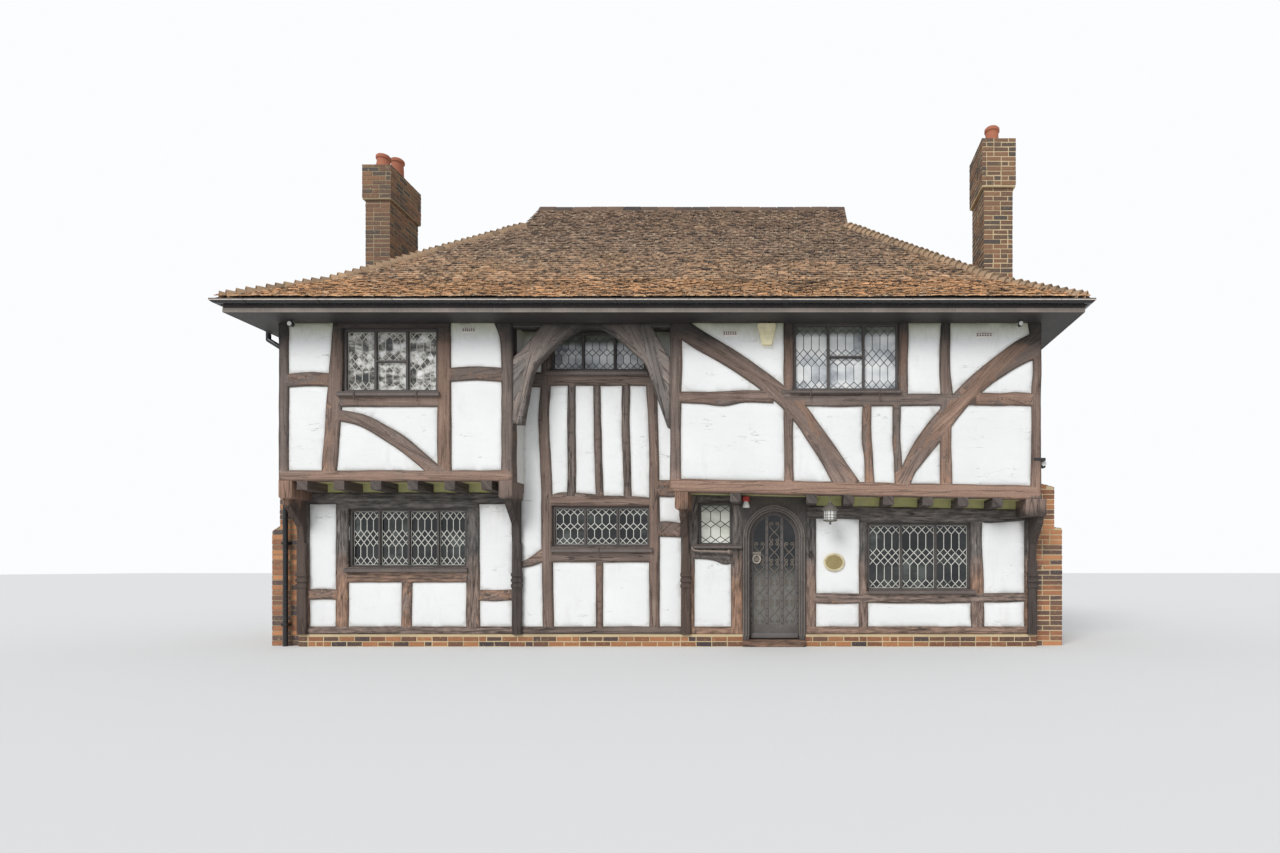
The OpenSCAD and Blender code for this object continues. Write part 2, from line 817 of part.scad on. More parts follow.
right_head_out = 38;
module left_stack() {
    brick() {
        left_shaft();
        translate([-half_len, 0, 0]) upright(back_front, 2750)
            fireplace_back(left_back_out, left_step_z, 80, left_back_top);
        shaft(-half_len, left_stack_w, left_stack_y, left_head_foot, left_stack_top, left_head_out);
    }
}
module right_stack() {
    brick() {
        right_shaft();
        translate([half_len, 0, 0]) mirror([1, 0, 0]) upright(back_front, 1850)
            fireplace_back(right_back_out, right_step_z, 12, right_back_top);
        translate([half_len - right_stack_in, right_stack_y[0], 0])
            cube([right_stack_in, right_stack_y[1] - right_stack_y[0], right_back_top]);
        shaft(right_shaft_x, right_stack_w, right_stack_y, right_head_foot, right_stack_top, right_head_out);
    }
}
module pot(high) {
    rotate_extrude() polygon([
        [85, 0], [132, 0], [122, 60], [108, 110], [100, high - 80], [118, high - 62], [118, high - 22],
        [98, high], [85, high]
    ]);
}
// Each pot's place along its stack and its height
left_pots = [[-1095, 260], [-670, 440]];
right_pot = [(right_stack_y[0] + right_stack_y[1]) / 2, 380];
module chimney_pots() {
    color([0.72, 0.33, 0.2]) {
        for (p = left_pots)
            translate([-half_len + left_stack_w / 2, p[0], left_stack_top]) pot(p[1]);
        translate([right_shaft_x + right_stack_w / 2, right_pot[0], right_stack_top]) pot(right_pot[1]);
    }
}

// Brick plinths under the sill beams, and the ground floor between them
module front_plinths() {
    brick() {
        translate([-half_len, front_low, 0]) cube([half_len + door_l, wall, plinth_top]);
        translate([door_r, front_low, 0]) cube([half_len - door_r, wall, plinth_top]);
        translate([half_len, front_low, 0]) cube([side_post_out, back_front - front_low, plinth_top]);
    }
}
module back_plinth() {
    brick() translate([-half_len, side_b, 0]) cube([2 * half_len, wall, plinth_top]);
}
module side_plinths() {
    brick() difference() {
        for (x = [-half_len, half_len - wall])
            translate([x, side_low, 0]) cube([wall, side_b - side_low, plinth_top]);
        stack_shafts();
        right_stack();
    }
}
module ground_floor() {
    color([0.45, 0.42, 0.38]) difference() {
        translate([-half_len + wall, side_low, 0])
            cube([2 * (half_len - wall), side_b - side_low, floor_top]);
        stack_shafts();
    }
}

// Floor joists, whose ends carry the jetty beams
joist_back = 12;
left_joists_x = [for (i = [0:5]) -5048 + i * 520];
right_joists_x = [door_l - joist_w / 2, door_r + joist_w / 2, 2665, 3225, 3782, 4280, 4765];
module right_end(a, b) polygon([[a, joist_foot(a)], [b, joist_foot(b)], [b, dip(b)], [a, dip(a)]]);
module joist_ends() {
    for (x = left_joists_x)
        bar(x - joist_w / 2, x + joist_w / 2, left_floor - left_joist_h, left_floor);
    for (x = right_joists_x)
        right_end(x - joist_w / 2, x + joist_w / 2);
}
module jetty_joists() {
    oak() difference() {
        upright(front_up + joist_back, side_b - front_up - joist_back) joist_ends();
        stack_shafts();
    }
}

// Plastered filling between the joists, over the ground floor wall
module filling_band() {
    bar(corner_beams[0][1], corner_beams[1][0], left_floor - left_joist_h, left_floor);
    right_end(door_r, corner_beams[3][0]);
}
module joist_filling() {
    color([0.8, 0.77, 0.5]) upright(front_low + 30, plaster_th - 30) difference() {
        filling_band();
        joist_ends();
    }
}

// Stout beam ends under the corners of the bays: left edge, right edge and the middle of the shaft below
corner_beams = [
    [-half_len, -5189, -5315], [-2271, recess_l, -2165], [211, 397, 309], [5160, half_len + 75, 5386]
];
corner_deep = 250;
corner_round = 30;
post_out = 45;
post_w = 130;
ring_out = 14;
bracket_rise = 620;
side_post_out = 77;
function quarter(x, z, from) = [
    for (i = [0:3]) [x + corner_round * cos(from + 30 * i), z + corner_round * sin(from + 30 * i)]
];
module beam_end(a, b, foot, top_a, top_b) {
    upright(front_up + 6, jetty - 6) polygon(concat(
        quarter(a + corner_round, foot + corner_round, 180),
        quarter(b - corner_round, foot + corner_round, 270),
        [[b, top_b], [a, top_a]]
    ));
}
module corner_bracket(top) {
    polygon([
        [front_low, top], [front_up + 60, top], [front_up + 75, top - 90], [front_up + 190, top - 210],
        [front_low - 80, top - 380],
        [front_low - post_out, top - bracket_rise], [front_low, top - bracket_rise]
    ]);
}
module corner_post(middle, top) {
    crosswise(middle - post_w / 2 + 20, post_w - 40) corner_bracket(top);
    translate([middle - post_w / 2, front_low - post_out, plinth_top])
        cube([post_w, post_out, top - bracket_rise - plinth_top]);
    for (z = [868, 950, 1032])
        translate([middle - post_w / 2 - 12, front_low - post_out - ring_out, z])
            cube([post_w + 24, post_out + ring_out, 50]);
}
module corner_brackets() {
    oak() {
        for (c = [corner_beams[0], corner_beams[1]]) {
            beam_end(c[0], c[1], left_floor - corner_deep, left_floor, left_floor);
            translate([c[0], front_low, left_floor - left_joist_h]) cube([c[1] - c[0], wall, left_joist_h]);
            corner_post(c[2], left_floor - corner_deep);
        }
        for (c = [corner_beams[2], corner_beams[3]]) {
            foot = dip(c[0]) - corner_deep;
            beam_end(c[0], c[1], foot, dip(c[0]), dip(c[1]));
            corner_post(c[2], foot);
        }
        upright(front_low, wall) right_end(corner_beams[3][0], half_len);
        translate([half_len, front_low, plinth_top])
            cube([side_post_out, back_front - front_low, dip(corner_beams[3][1]) - plinth_top]);
    }
}

// Boarded floors of the bays and the hall
hall_floor = 2240;
module upper_floors() {
    color([0.75, 0.72, 0.5]) difference() {
        union() {
            translate([-half_len + wall, side_a, left_floor])
                cube([recess_l - return_th + half_len - wall, side_b - side_a, deck]);
            translate([recess_l - return_th, side_low, hall_floor])
                cube([recess_r - recess_l + 2 * return_th, side_b - side_low, deck]);
            upright(side_a, side_b - side_a) polygon([
                [recess_r + return_th, dip(recess_r + return_th)],
                [half_len - wall, dip(half_len - wall)],
                [half_len - wall, dip(half_len - wall) + deck],
                [recess_r + return_th, dip(recess_r + return_th) + deck]
            ]);
        }
        stack_shafts();
    }
}

// Doorway: threshold, jambs and a head with a pointed arch
module arch(grow, foot) {
    r = (door_rise * door_rise + door_half * door_half) / (2 * door_half);
    shift = r - door_half;
    translate([door_x, 0]) {
        intersection() {
            translate([shift, door_spring]) circle(r + grow, $fn = 96);
            translate([-shift, door_spring]) circle(r + grow, $fn = 96);
            translate([-1000, door_spring]) square(2000);
        }
        translate([-door_half - grow, foot]) square([2 * (door_half + grow), door_spring - foot]);
    }
}
lap = 12;
module door_surround() {
    oak() {
        upright(front_low, stop_th) difference() {
            children();
            arch(0, 0);
        }
        upright(front_low + stop_th, wall - stop_th) difference() {
            children();
            arch(lap + leaf_gap, 0);
        }
    }
}
mould = [40, 75];
module door_mould(out) {
    oak() upright(front_low - out, out) intersection() {
        difference() {
            arch(mould[1], 0);
            arch(mould[0], 0);
        }
        children();
    }
}
module jambs_outline() bar(door_l, door_r, floor_top, door_spring);
module head_outline() polygon([
    [door_l, door_spring], [door_r, door_spring], [door_r, dip(door_r)], [door_l, dip(door_l)]
]);
module door_jambs() {
    door_surround() jambs_outline();
    door_mould(14) jambs_outline();
}
module door_head() {
    door_surround() head_outline();
    door_mould(30) head_outline();
}
module threshold() {
    oak() translate([door_l, front_low - 50, 0]) cube([door_r - door_l, wall + 50, floor_top]);
}

// Arched door with three tall lights between its ribs
leaf_front = front_low + stop_th + 7;
leaf_foot = floor_top + 8;
rib = 44;
rib_at = 112;
stile = 58;
door_rail = 215;
module door_lights() {
    intersection() {
        difference() {
            arch(-stile, floor_top + door_rail);
            for (s = [-1, 1])
                translate([door_x + s * rib_at - rib / 2, 0]) square([rib, 3000]);
        }
        translate([0, floor_top + door_rail]) square(4000);
    }
}
module front_door() {
    oak() upright(leaf_front, leaf_th) difference() {
        arch(lap, leaf_foot);
        door_lights();
    }
}
module door_glass() {
    color([0.25, 0.28, 0.3, 0.6]) upright(leaf_front + 22, 8) door_lights();
}

// Ring handle on its plate, and strap hinges whose knuckles lie on the hinge line
ring_at = [1340, 1285];
ring_r = 56;
ring_bar = 8;
ring_clear = 3;
hinge_x = door_x + door_half + lap + 4;
hinge_y = leaf_front + leaf_th + 12;
knuckle_r = 9;
module door_furniture() {
    color([0.2, 0.19, 0.18]) {
        translate([ring_at[0] - 65, leaf_front - 6, ring_at[1] - 30]) cube([130, 6, 140]);
        translate([ring_at[0], leaf_front - 6 - ring_bar - ring_clear, ring_at[1]]) rotate([90, 0, 0])
            rotate_extrude() translate([ring_r, 0]) circle(ring_bar);
        translate([ring_at[0], leaf_front - 6, ring_at[1] + ring_r]) rotate([90, 0, 0])
            cylinder(h = 2 * (ring_bar + ring_clear), r = 14);
        for (z = [420, 1480]) {
            translate([hinge_x - 320, leaf_front + leaf_th, z - 20]) cube([320, 5, 40]);
            translate([hinge_x, hinge_y, z - 50]) cylinder(h = 100, r = knuckle_r);
        }
    }
}

// Window frames with their mullions, and the glass behind them
frame_back = 45;
frame_th = 50;
frame_w = 40;
glass_th = 6;
glass_in = frame_back + frame_th;
mullion = 34;
transom_h = 24;
module window_lines(w, lights, transom) {
    light = (w[1] - w[0]) / lights;
    difference() {
        bar(w[0], w[1], w[2], w[3]);
        bar(w[0] + frame_w, w[1] - frame_w, w[2] + frame_w, w[3] - frame_w);
    }
    for (i = [1:1:lights - 1])
        bar(w[0] + light * i - mullion / 2, w[0] + light * i + mullion / 2, w[2], w[3]);
    if (transom > 0)
        bar(w[0] + light, w[0] + 2 * light, transom - transom_h / 2, transom + transom_h / 2);
}
module pane(w) bar(w[0], w[1], w[2], w[3]);
module dark_oak() {
    color([0.16, 0.14, 0.13]) children();
}
module back_and_side_windows(storey) {
    upright(back_face - glass_in, frame_th)
        for (i = [storey:2:len(back_windows) - 1])
            window_lines(back_windows[i], 3, 0);
    for (x = [-half_len + frame_back, half_len - glass_in])
        crosswise(x, frame_th) window_lines(side_windows[storey], 2, 0);
}
module back_and_side_glass(storey) {
    upright(back_face - glass_in - glass_th, glass_th)
        for (i = [storey:2:len(back_windows) - 1])
            pane(back_windows[i]);
    for (x = [-half_len + glass_in, half_len - glass_in - glass_th])
        crosswise(x, glass_th) pane(side_windows[storey]);
}
module upper_windows() {
    dark_oak() {
        upright(front_up + frame_back, frame_th) {
            window_lines(left_window, 3, 4083);
            window_lines(right_window, 3, 4149);
        }
        upright(front_low + frame_back, frame_th) window_lines(hall_upper, 3, 0);
        back_and_side_windows(1);
    }
}
module lower_windows() {
    dark_oak() {
        upright(front_low + frame_back, frame_th) {
            window_lines(low_left_window, 4, 0);
            window_lines(hall_lower, 3, 0);
            window_lines(low_side_window, 1, 0);
            window_lines(low_right_window, 3, 0);
        }
        back_and_side_windows(0);
    }
}
module glass() {
    color([0.7, 0.78, 0.8, 0.4]) children();
}
module upper_glass() {
    glass() {
        upright(front_up + glass_in, glass_th) {
            pane(left_window);
            pane(right_window);
        }
        upright(front_low + glass_in, glass_th) pane(hall_upper);
        back_and_side_glass(1);
    }
}
module lower_glass() {
    glass() {
        upright(front_low + glass_in, glass_th)
            for (w = [low_left_window, hall_lower, low_side_window, low_right_window])
                pane(w);
        back_and_side_glass(0);
    }
}

// Lantern that hangs from the jetty beam beside the door
lantern_at = [2404, front_up + 60, 1770];
module lantern() {
    color([0.55, 0.55, 0.52]) translate(lantern_at) {
        rotate_extrude() polygon([
            [0, 0], [20, 0], [24, 20], [88, 28], [88, 44], [104, 190], [118, 196], [112, 214],
            [70, 268], [30, 300], [18, 330], [0, 330]
        ]);
        translate([0, 0, 320]) cylinder(h = dip(lantern_at[0] + 7) - lantern_at[2] - 320, r = 7);
    }
}

// Bell box under the eaves and an oval plate by the door, both fixed to the plaster
module wall_fittings() {
    color([0.85, 0.8, 0.6]) {
        upright(front_up + plaster_back - 80, 80)
            polygon([[1440, 4290], [1580, 4290], [1640, 4560], [1625, 4590], [1395, 4590], [1380, 4560]]);
        translate([2483, front_low + plaster_back, 1239]) rotate([90, 0, 0]) cylinder(h = 18, r = 130);
    }
}

left_bay_timbers();
left_bay_plaster();
hall_timbers();
hall_plaster();
right_bay_timbers();
right_bay_plaster();
ground_front_timbers();
ground_front_plaster();
back_timbers();
back_plaster();
left_side_timbers();
left_side_plaster();
right_side_timbers();
right_side_plaster();
recess_returns();
recess_braces();
long_plates();
end_plates();
front_slope();
back_slope();
left_slope();
right_slope();
gablets();
ridge_and_hips();
long_eaves();
end_eaves();
gutters();
downpipes();
left_stack();
right_stack();
chimney_pots();
front_plinths();
back_plinth();
side_plinths();
ground_floor();
jetty_joists();
joist_filling();
corner_brackets();
upper_floors();
door_jambs();
door_head();
threshold();
front_door();
door_glass();
door_furniture();
upper_windows();
lower_windows();
upper_glass();
lower_glass();
lantern();
wall_fittings();
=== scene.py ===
"""Looks of a half timbered hall house: hewn oak, limewash, peg tiles, bricks and leaded lights."""

import math
import random
from collections import defaultdict

import bmesh
import bpy
import numpy as np
from bpy.props import FloatProperty, FloatVectorProperty, IntProperty, PointerProperty
from mathutils import Matrix, Vector, geometry, noise
from mathutils.bvhtree import BVHTree


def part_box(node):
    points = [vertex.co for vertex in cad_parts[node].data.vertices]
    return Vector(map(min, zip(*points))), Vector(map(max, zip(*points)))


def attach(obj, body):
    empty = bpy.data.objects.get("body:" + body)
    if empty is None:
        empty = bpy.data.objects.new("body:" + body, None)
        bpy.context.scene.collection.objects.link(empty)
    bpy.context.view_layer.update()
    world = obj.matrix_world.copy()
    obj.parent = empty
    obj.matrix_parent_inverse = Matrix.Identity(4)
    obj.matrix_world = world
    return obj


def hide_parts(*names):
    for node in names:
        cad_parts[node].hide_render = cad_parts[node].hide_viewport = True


bl_info = {
    "name": "Half Timbered House",
    "version": (1, 0, 0),
    "blender": (4, 5, 0),
    "location": "View3D > Sidebar > House",
    "description": "Dresses a half timbered hall house with oak, limewash, tiles, bricks and leaded lights",
    "category": "Add Mesh",
}

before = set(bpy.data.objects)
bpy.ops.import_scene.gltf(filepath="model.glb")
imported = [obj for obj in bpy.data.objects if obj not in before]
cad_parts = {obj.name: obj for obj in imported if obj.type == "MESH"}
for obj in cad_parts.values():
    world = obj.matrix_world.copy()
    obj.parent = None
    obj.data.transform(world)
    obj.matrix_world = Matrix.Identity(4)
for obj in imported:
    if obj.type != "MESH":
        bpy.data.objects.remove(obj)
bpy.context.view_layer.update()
HOUSE, DOOR = "house", "door"
UP = Vector((0, 0, 1))
FRONT, BACK, LEFT, RIGHT = Vector((0, -1, 0)), Vector((0, 1, 0)), Vector((-1, 0, 0)), Vector((1, 0, 0))
# How far the faces of the jettied bays and of the walls under them stand in front of the middle
JETTY_FACE, WALL_FACE = 3.3, 2.88


def size(name, description, default):
    """A length in metres that the sidebar can change."""
    return FloatProperty(name=name, description=description, default=default, min=0.0, unit="LENGTH")


def tone(name, description, default):
    """A colour that the sidebar can change."""
    return FloatVectorProperty(
        name=name, description=description, default=default, size=3, min=0.0, max=1.0, subtype="COLOR")


class TimberSettings(bpy.types.PropertyGroup):
    """Oak of the frame."""

    arris: size("Arris", "Wear along the edges of the timbers", 0.009)
    wander: size("Wander", "How far the edges stray over the plaster", 0.009)
    hewing: size("Hewing", "Depth of the hollows left by the adze", 0.004)
    cell: size("Cell", "Distance between the points of the hewn faces", 0.055)
    upper: tone("Upper oak", "Red-brown oak of the upper floor", (0.215, 0.145, 0.112))
    ruddy: tone("Ruddy oak", "Jetty beams and low posts", (0.325, 0.205, 0.15))
    # Near black: stain together with painted shade under the eaves
    stain_and_eaves_shade: tone("Stained oak", "Blackened oak under the eaves", (0.04, 0.034, 0.031))
    foot: tone("Foot", "Posts near the ground, washed bare", (0.27, 0.165, 0.115))
    # Darker oak of the recess: painted shade of the recess
    hall: tone("Hall oak", "Shaded oak of the recess and its braces", (0.15, 0.115, 0.097))
    lower: tone("Lower oak", "Dark oak of the ground floor", (0.125, 0.11, 0.1))
    bare: tone("Bare oak", "Silvery streaks where the stain has worn off", (0.42, 0.35, 0.3))
    painted: tone("Black paint", "Old paint on eaves, door and windows", (0.055, 0.048, 0.045))


class PlasterSettings(bpy.types.PropertyGroup):
    """Plaster panels between the timbers."""

    cell: size("Cell", "Distance between the points of the plaster faces", 0.085)
    pillow: size("Pillow", "How far a panel swells in its middle", 0.01)
    wave: size("Wave", "Height of the hollows left by the float", 0.006)
    lime: tone("Limewash", "White of the panels", (0.86, 0.86, 0.85))
    dirt: tone("Dirt", "Grey where rain and dust settle", (0.56, 0.54, 0.49))
    # Yellow-green between the joists: stained cream paint, its green partly a painted reflection
    cream: tone("Cream wash", "Stained cream between the joists", (0.66, 0.64, 0.17))


class RoofSettings(bpy.types.PropertyGroup):
    """Peg tiles, bonnets and ridge tiles."""

    tile_width: size("Tile width", "Width of a peg tile", 0.165)
    gauge: size("Gauge", "Distance between two courses", 0.092)
    thickness: size("Thickness", "Thickness of a tile at its tail", 0.013)
    lift: size("Lift", "How far a crooked tile's tail may lift", 0.017)
    sway: size("Sway", "How far the old battens rise and fall", 0.012)
    bonnet: size("Bonnet", "Half of the width of a bonnet tile", 0.165)
    ridge_length: size("Ridge length", "Length of a ridge tile", 0.32)
    clay: tone("Clay", "Brown of the weathered clay", (0.26, 0.165, 0.108))
    warm: tone("Warm clay", "Orange tiles near the eaves", (0.6, 0.345, 0.18))
    grey: tone("Grey clay", "Tiles under grey lichen", (0.29, 0.19, 0.126))
    dark: tone("Dark clay", "Tiles under soot", (0.055, 0.042, 0.04))
    tan: tone("Bonnet clay", "Tan of the bonnets", (0.4, 0.265, 0.16))
    # Darker than cream mortar, so that the gaps between the bonnets read dark: partly painted shade
    bedding: tone("Bedding", "Cream mortar under the bonnets", (0.42, 0.33, 0.22))


class BrickSettings(bpy.types.PropertyGroup):
    """Bricks of the stacks, fireplace backs and plinths."""

    length: size("Length", "Length of a stretcher", 0.215)
    course: size("Course", "Height of a course with its joint", 0.075)
    joint: size("Joint", "Width of a mortar joint", 0.013)
    proud: size("Proud", "How far a brick stands out of the mortar", 0.005)
    red: tone("Red", "Red-brown bricks", (0.31, 0.128, 0.07))
    brown: tone("Brown", "Brown bricks", (0.185, 0.105, 0.072))
    orange: tone("Orange", "Soft orange bricks", (0.46, 0.205, 0.095))
    plum: tone("Plum", "Dark, hard burnt bricks", (0.085, 0.062, 0.068))
    mortar: tone("Mortar", "Lime mortar", (0.58, 0.46, 0.28))


class WindowSettings(bpy.types.PropertyGroup):
    """Leaded lights."""

    columns: IntProperty(name="Columns", description="Quarries across one light", default=4, min=1)
    rise: size("Rise", "Rise of a diamond's edge", 0.062)
    came: size("Came", "Width of a lead came", 0.01)
    proud: size("Proud", "How far the lead stands out of the glass", 0.004)
    lead: tone("Lead", "Pale oxidised lead", (0.72, 0.7, 0.64))
    dull_lead: tone("Dull lead", "Dark lead of the upper lights", (0.085, 0.085, 0.08))

    # What the panes show, from the darkest to the brightest: a painted reflection of the sky, curtains with
    # the painted shade of dark rooms between, the painted shade of dark rooms behind the glass, and curtains
    painted_sky_tones = ((0.25, 0.26, 0.28), (0.5, 0.52, 0.54), (0.7, 0.71, 0.71), (0.84, 0.84, 0.82))
    leafy = ((0.035, 0.038, 0.036), (0.16, 0.15, 0.13), (0.62, 0.61, 0.57), (0.84, 0.84, 0.82))
    deep = ((0.004, 0.005, 0.006), (0.01, 0.011, 0.012), (0.022, 0.025, 0.023), (0.075, 0.085, 0.078))
    curtain = ((0.5, 0.5, 0.42), (0.76, 0.76, 0.67), (0.86, 0.86, 0.78))


class FittingSettings(bpy.types.PropertyGroup):
    """Ironwork, lantern and small fittings."""

    iron: tone("Iron", "Wrought iron", (0.035, 0.034, 0.034))
    pewter: tone("Pewter", "Grey metal of the lantern", (0.21, 0.19, 0.165))
    gutter: tone("Gutter", "Black of the rainwater goods", (0.022, 0.022, 0.024))
    cream: tone("Cream", "Bell box and oval plate", (0.76, 0.68, 0.44))
    vent: tone("Vent", "Limed air bricks", (0.74, 0.66, 0.6))


class StageSettings(bpy.types.PropertyGroup):
    """Camera, floor and light."""

    eye: FloatVectorProperty(name="Eye", description="Place of the camera", default=(1.835, -13.16, 1.17),
                             subtype="TRANSLATION")
    focal: IntProperty(name="Focal length", description="In pixels of the photograph", default=700)
    centre: FloatVectorProperty(name="Centre", description="Pixel that the camera looks at", size=2,
                                default=(790.0, 567.0))
    floor: tone("Floor", "Pale floor", (0.8, 0.8, 0.79))


GROUPS = {
    "timber": TimberSettings, "plaster": PlasterSettings, "roof": RoofSettings, "brick": BrickSettings,
    "window": WindowSettings, "fitting": FittingSettings, "stage": StageSettings,
}


class HouseSettings(bpy.types.PropertyGroup):
    """All settings of the house, by trade."""

    __annotations__ = {name: PointerProperty(type=group) for name, group in GROUPS.items()}


def trade(name):
    """The settings of one trade."""
    return getattr(bpy.context.scene.house, name)


# Materials

class Finish:
    """A material while it is mixed: tones are laid over its body and relief is added to its surface."""

    def __init__(self, name, roughness=0.8, metallic=0.0):
        self.material = bpy.data.materials.new(name)
        self.material.use_nodes = True
        self.tree = self.material.node_tree
        self.shader = self.tree.nodes["Principled BSDF"]
        self.shader.inputs["Roughness"].default_value = roughness
        self.shader.inputs["Metallic"].default_value = metallic
        self.place = self.node("TexCoord").outputs["Object"]
        self.body = None
        self.slope = None

    def node(self, kind, **inputs):
        """A node of a kind with its inputs set or linked by name."""
        made = self.tree.nodes.new("ShaderNode" + kind)
        for name, value in inputs.items():
            self.feed(made.inputs[name.replace("_", " ")], value)
        return made

    def feed(self, socket, value):
        """Links an output to a socket, or sets the socket's own value."""
        if isinstance(value, bpy.types.NodeSocket):
            self.tree.links.new(value, socket)
        elif hasattr(value, "__len__") and socket.type == "RGBA":
            socket.default_value = (*tuple(value)[:3], 1.0)
        else:
            socket.default_value = value

    def height(self):
        """The height above the ground, in metres."""
        return self.node("SeparateXYZ", Vector=self.place).outputs["Z"]

    def grain(self):
        """The point along and across the grain, in metres."""
        made = self.node("UVMap")
        made.uv_map = "grain"
        return made.outputs["UV"]

    def mark(self, name):
        """A value that the mesh carries on its faces or points."""
        made = self.node("Attribute")
        made.attribute_name = name
        return made.outputs["Fac"]

    def cloud(self, scale, detail=4.0, roughness=0.55, where=None):
        """Noise from 0 to 1, stretched by a scale for each axis, over the place or the grain."""
        scale = scale if hasattr(scale, "__len__") else (scale,) * 3
        stretched = self.node("Mapping", Vector=where or self.place, Scale=scale).outputs[0]
        made = self.node("TexNoise", Vector=stretched, Scale=1.0, Detail=detail, Roughness=roughness)
        return made.outputs["Fac"]

    def span(self, value, low, high, to_low=0.0, to_high=1.0):
        """Stretches the part of a value between low and high."""
        return self.node("MapRange", Value=value, From_Min=low, From_Max=high, To_Min=to_low,
                         To_Max=to_high).outputs[0]

    def join(self, how, first, second):
        """Two values joined by arithmetic."""
        made = self.node("Math")
        made.operation = how
        self.feed(made.inputs[0], first)
        self.feed(made.inputs[1], second)
        return made.outputs[0]

    def times(self, first, *others):
        """Values multiplied."""
        for other in others:
            first = self.join("MULTIPLY", first, other)
        return first

    def stray(self, value, drift, low, high, reach):
        """A value that strays by up to a reach as a drift goes from low to high."""
        return self.join("ADD", value, self.span(drift, low, high, -reach, reach))

    def lines(self, cloud, thin, wide):
        """Thin lines where noise crosses its middle value."""
        apart = self.join("ABSOLUTE", self.join("SUBTRACT", cloud, 0.5), 0.0)
        return self.span(apart, thin, wide, 1.0, 0.0)

    def mix(self, first, second, share):
        """Two colours mixed by a share."""
        made = self.node("Mix")
        made.data_type = "RGBA"
        for index, value in ((0, share), (6, first), (7, second)):
            self.feed(made.inputs[index], value)
        return made.outputs[2]

    def lay(self, tone_there, *shares):
        """Lays a tone over the body by its shares, multiplied."""
        self.body = self.mix(self.body, tone_there, self.times(*shares))

    def scale_of_tones(self, value, *stops):
        """Tones spread evenly over a value from 0 to 1."""
        made = self.node("ValToRGB", Fac=value)
        elements = made.color_ramp.elements
        while len(elements) < len(stops):
            elements.new(0.5)
        for i, stop in enumerate(stops):
            elements[i].position = i / (len(stops) - 1)
            elements[i].color = (*tuple(stop)[:3], 1.0)
        return made.outputs["Color"]

    def relief(self, *layers):
        """Raises the surface; each layer is a height from 0 to 1, its distance in metres and its strength."""
        for height, distance, strength in layers:
            made = self.node("Bump", Height=height, Distance=distance, Strength=strength)
            if self.slope is not None:
                self.feed(made.inputs["Normal"], self.slope)
            self.slope = made.outputs["Normal"]

    def done(self, roughness=None):
        """Links what was mixed to the shader and gives the material."""
        for name, value in (("Base Color", self.body), ("Roughness", roughness), ("Normal", self.slope)):
            if value is not None:
                self.feed(self.shader.inputs[name], value)
        return self.material


def shade(colour, factor):
    """A colour made lighter or darker."""
    return tuple(min(1.0, c * factor) for c in tuple(colour)[:3])


def shades(colour, *factors):
    """A colour made lighter or darker by each factor."""
    return [shade(colour, factor) for factor in factors]


def hewn_oak(name, stain, bare, wear=0.5, zones=(), splits=0.7, adzed=0.0):
    """Weathered oak with specks, streaks and splits; each zone is two heights and a tone that it turns to."""
    wood = Finish(name, 0.84)
    grain = wood.grain()
    streaks = wood.cloud((1.3, 26.0, 1.0), 7.0, 0.62, grain)
    fibres = wood.cloud((9.0, 150.0, 1.0), 3.0, 0.65, grain)
    specks = wood.cloud(75.0, 4.0, 0.75)
    patches = wood.cloud(1.7, 5.0, 0.6)
    split = wood.lines(wood.cloud((0.5, 10.0, 1.0), 3.0, 0.5, grain), 0.003, 0.014)
    level = wood.stray(wood.height(), patches, 0.3, 0.7, 0.14)
    wood.body = wood.mix(*shades(stain, 0.82, 1.16), wood.span(patches, 0.35, 0.65))
    wood.lay(bare, wood.span(streaks, 0.52, 0.7), wood.span(patches, 0.42, 0.72), wear)
    for first, last, tone_there in zones:
        wood.lay(tone_there, wood.span(level, first, last, 0.0, 0.9))
    wood.lay(shade(stain, 0.2), split, splits)
    tint = wood.mark("tint")
    # The value also falls within about 2 cm of each timber's outline: painted shade along its edges
    value = wood.times(
        wood.span(streaks, 0.32, 0.68, 0.82, 1.12), wood.span(specks, 0.3, 0.7, 0.72, 1.28),
        wood.span(tint, 0.0, 1.0, 0.8, 1.2), wood.span(wood.mark("edge"), 0.0, 0.16, 0.62, 1.0))
    if adzed:
        strokes = wood.cloud((6.0, 26.0, 1.0), 3.0, 0.55, grain)
        value = wood.times(value, wood.span(strokes, 0.35, 0.65, 1 - adzed, 1 + adzed))
        wood.relief((strokes, 0.014, 0.8))
    wood.body = wood.node("HueSaturation", Color=wood.body, Value=value,
                          Saturation=wood.span(tint, 0.0, 1.0, 0.7, 1.15)).outputs["Color"]
    wood.relief((streaks, 0.006, 0.6), (fibres, 0.0015, 0.5), (specks, 0.002, 0.5),
                (wood.span(split, 0.0, 1.0, 1.0, 0.0), 0.006, 0.9))
    return wood.done(wood.span(streaks, 0.3, 0.7, 0.92, 0.7))


def worn_paint(name, paint, wood, wear=0.35):
    """Old black-brown paint that has worn through on its high places."""
    coat = Finish(name, 0.55)
    specks = coat.cloud((55.0, 55.0, 18.0), 4.0, 0.65)
    coat.body = coat.scale_of_tones(coat.cloud((3.0, 3.0, 2.0), 5.0), *shades(paint, 0.6, 1.0, 1.7))
    coat.lay(wood, coat.span(specks, 0.55, 0.75), wear)
    coat.relief((specks, 0.0014, 0.5))
    return coat.done(coat.span(specks, 0.3, 0.7, 0.42, 0.72))


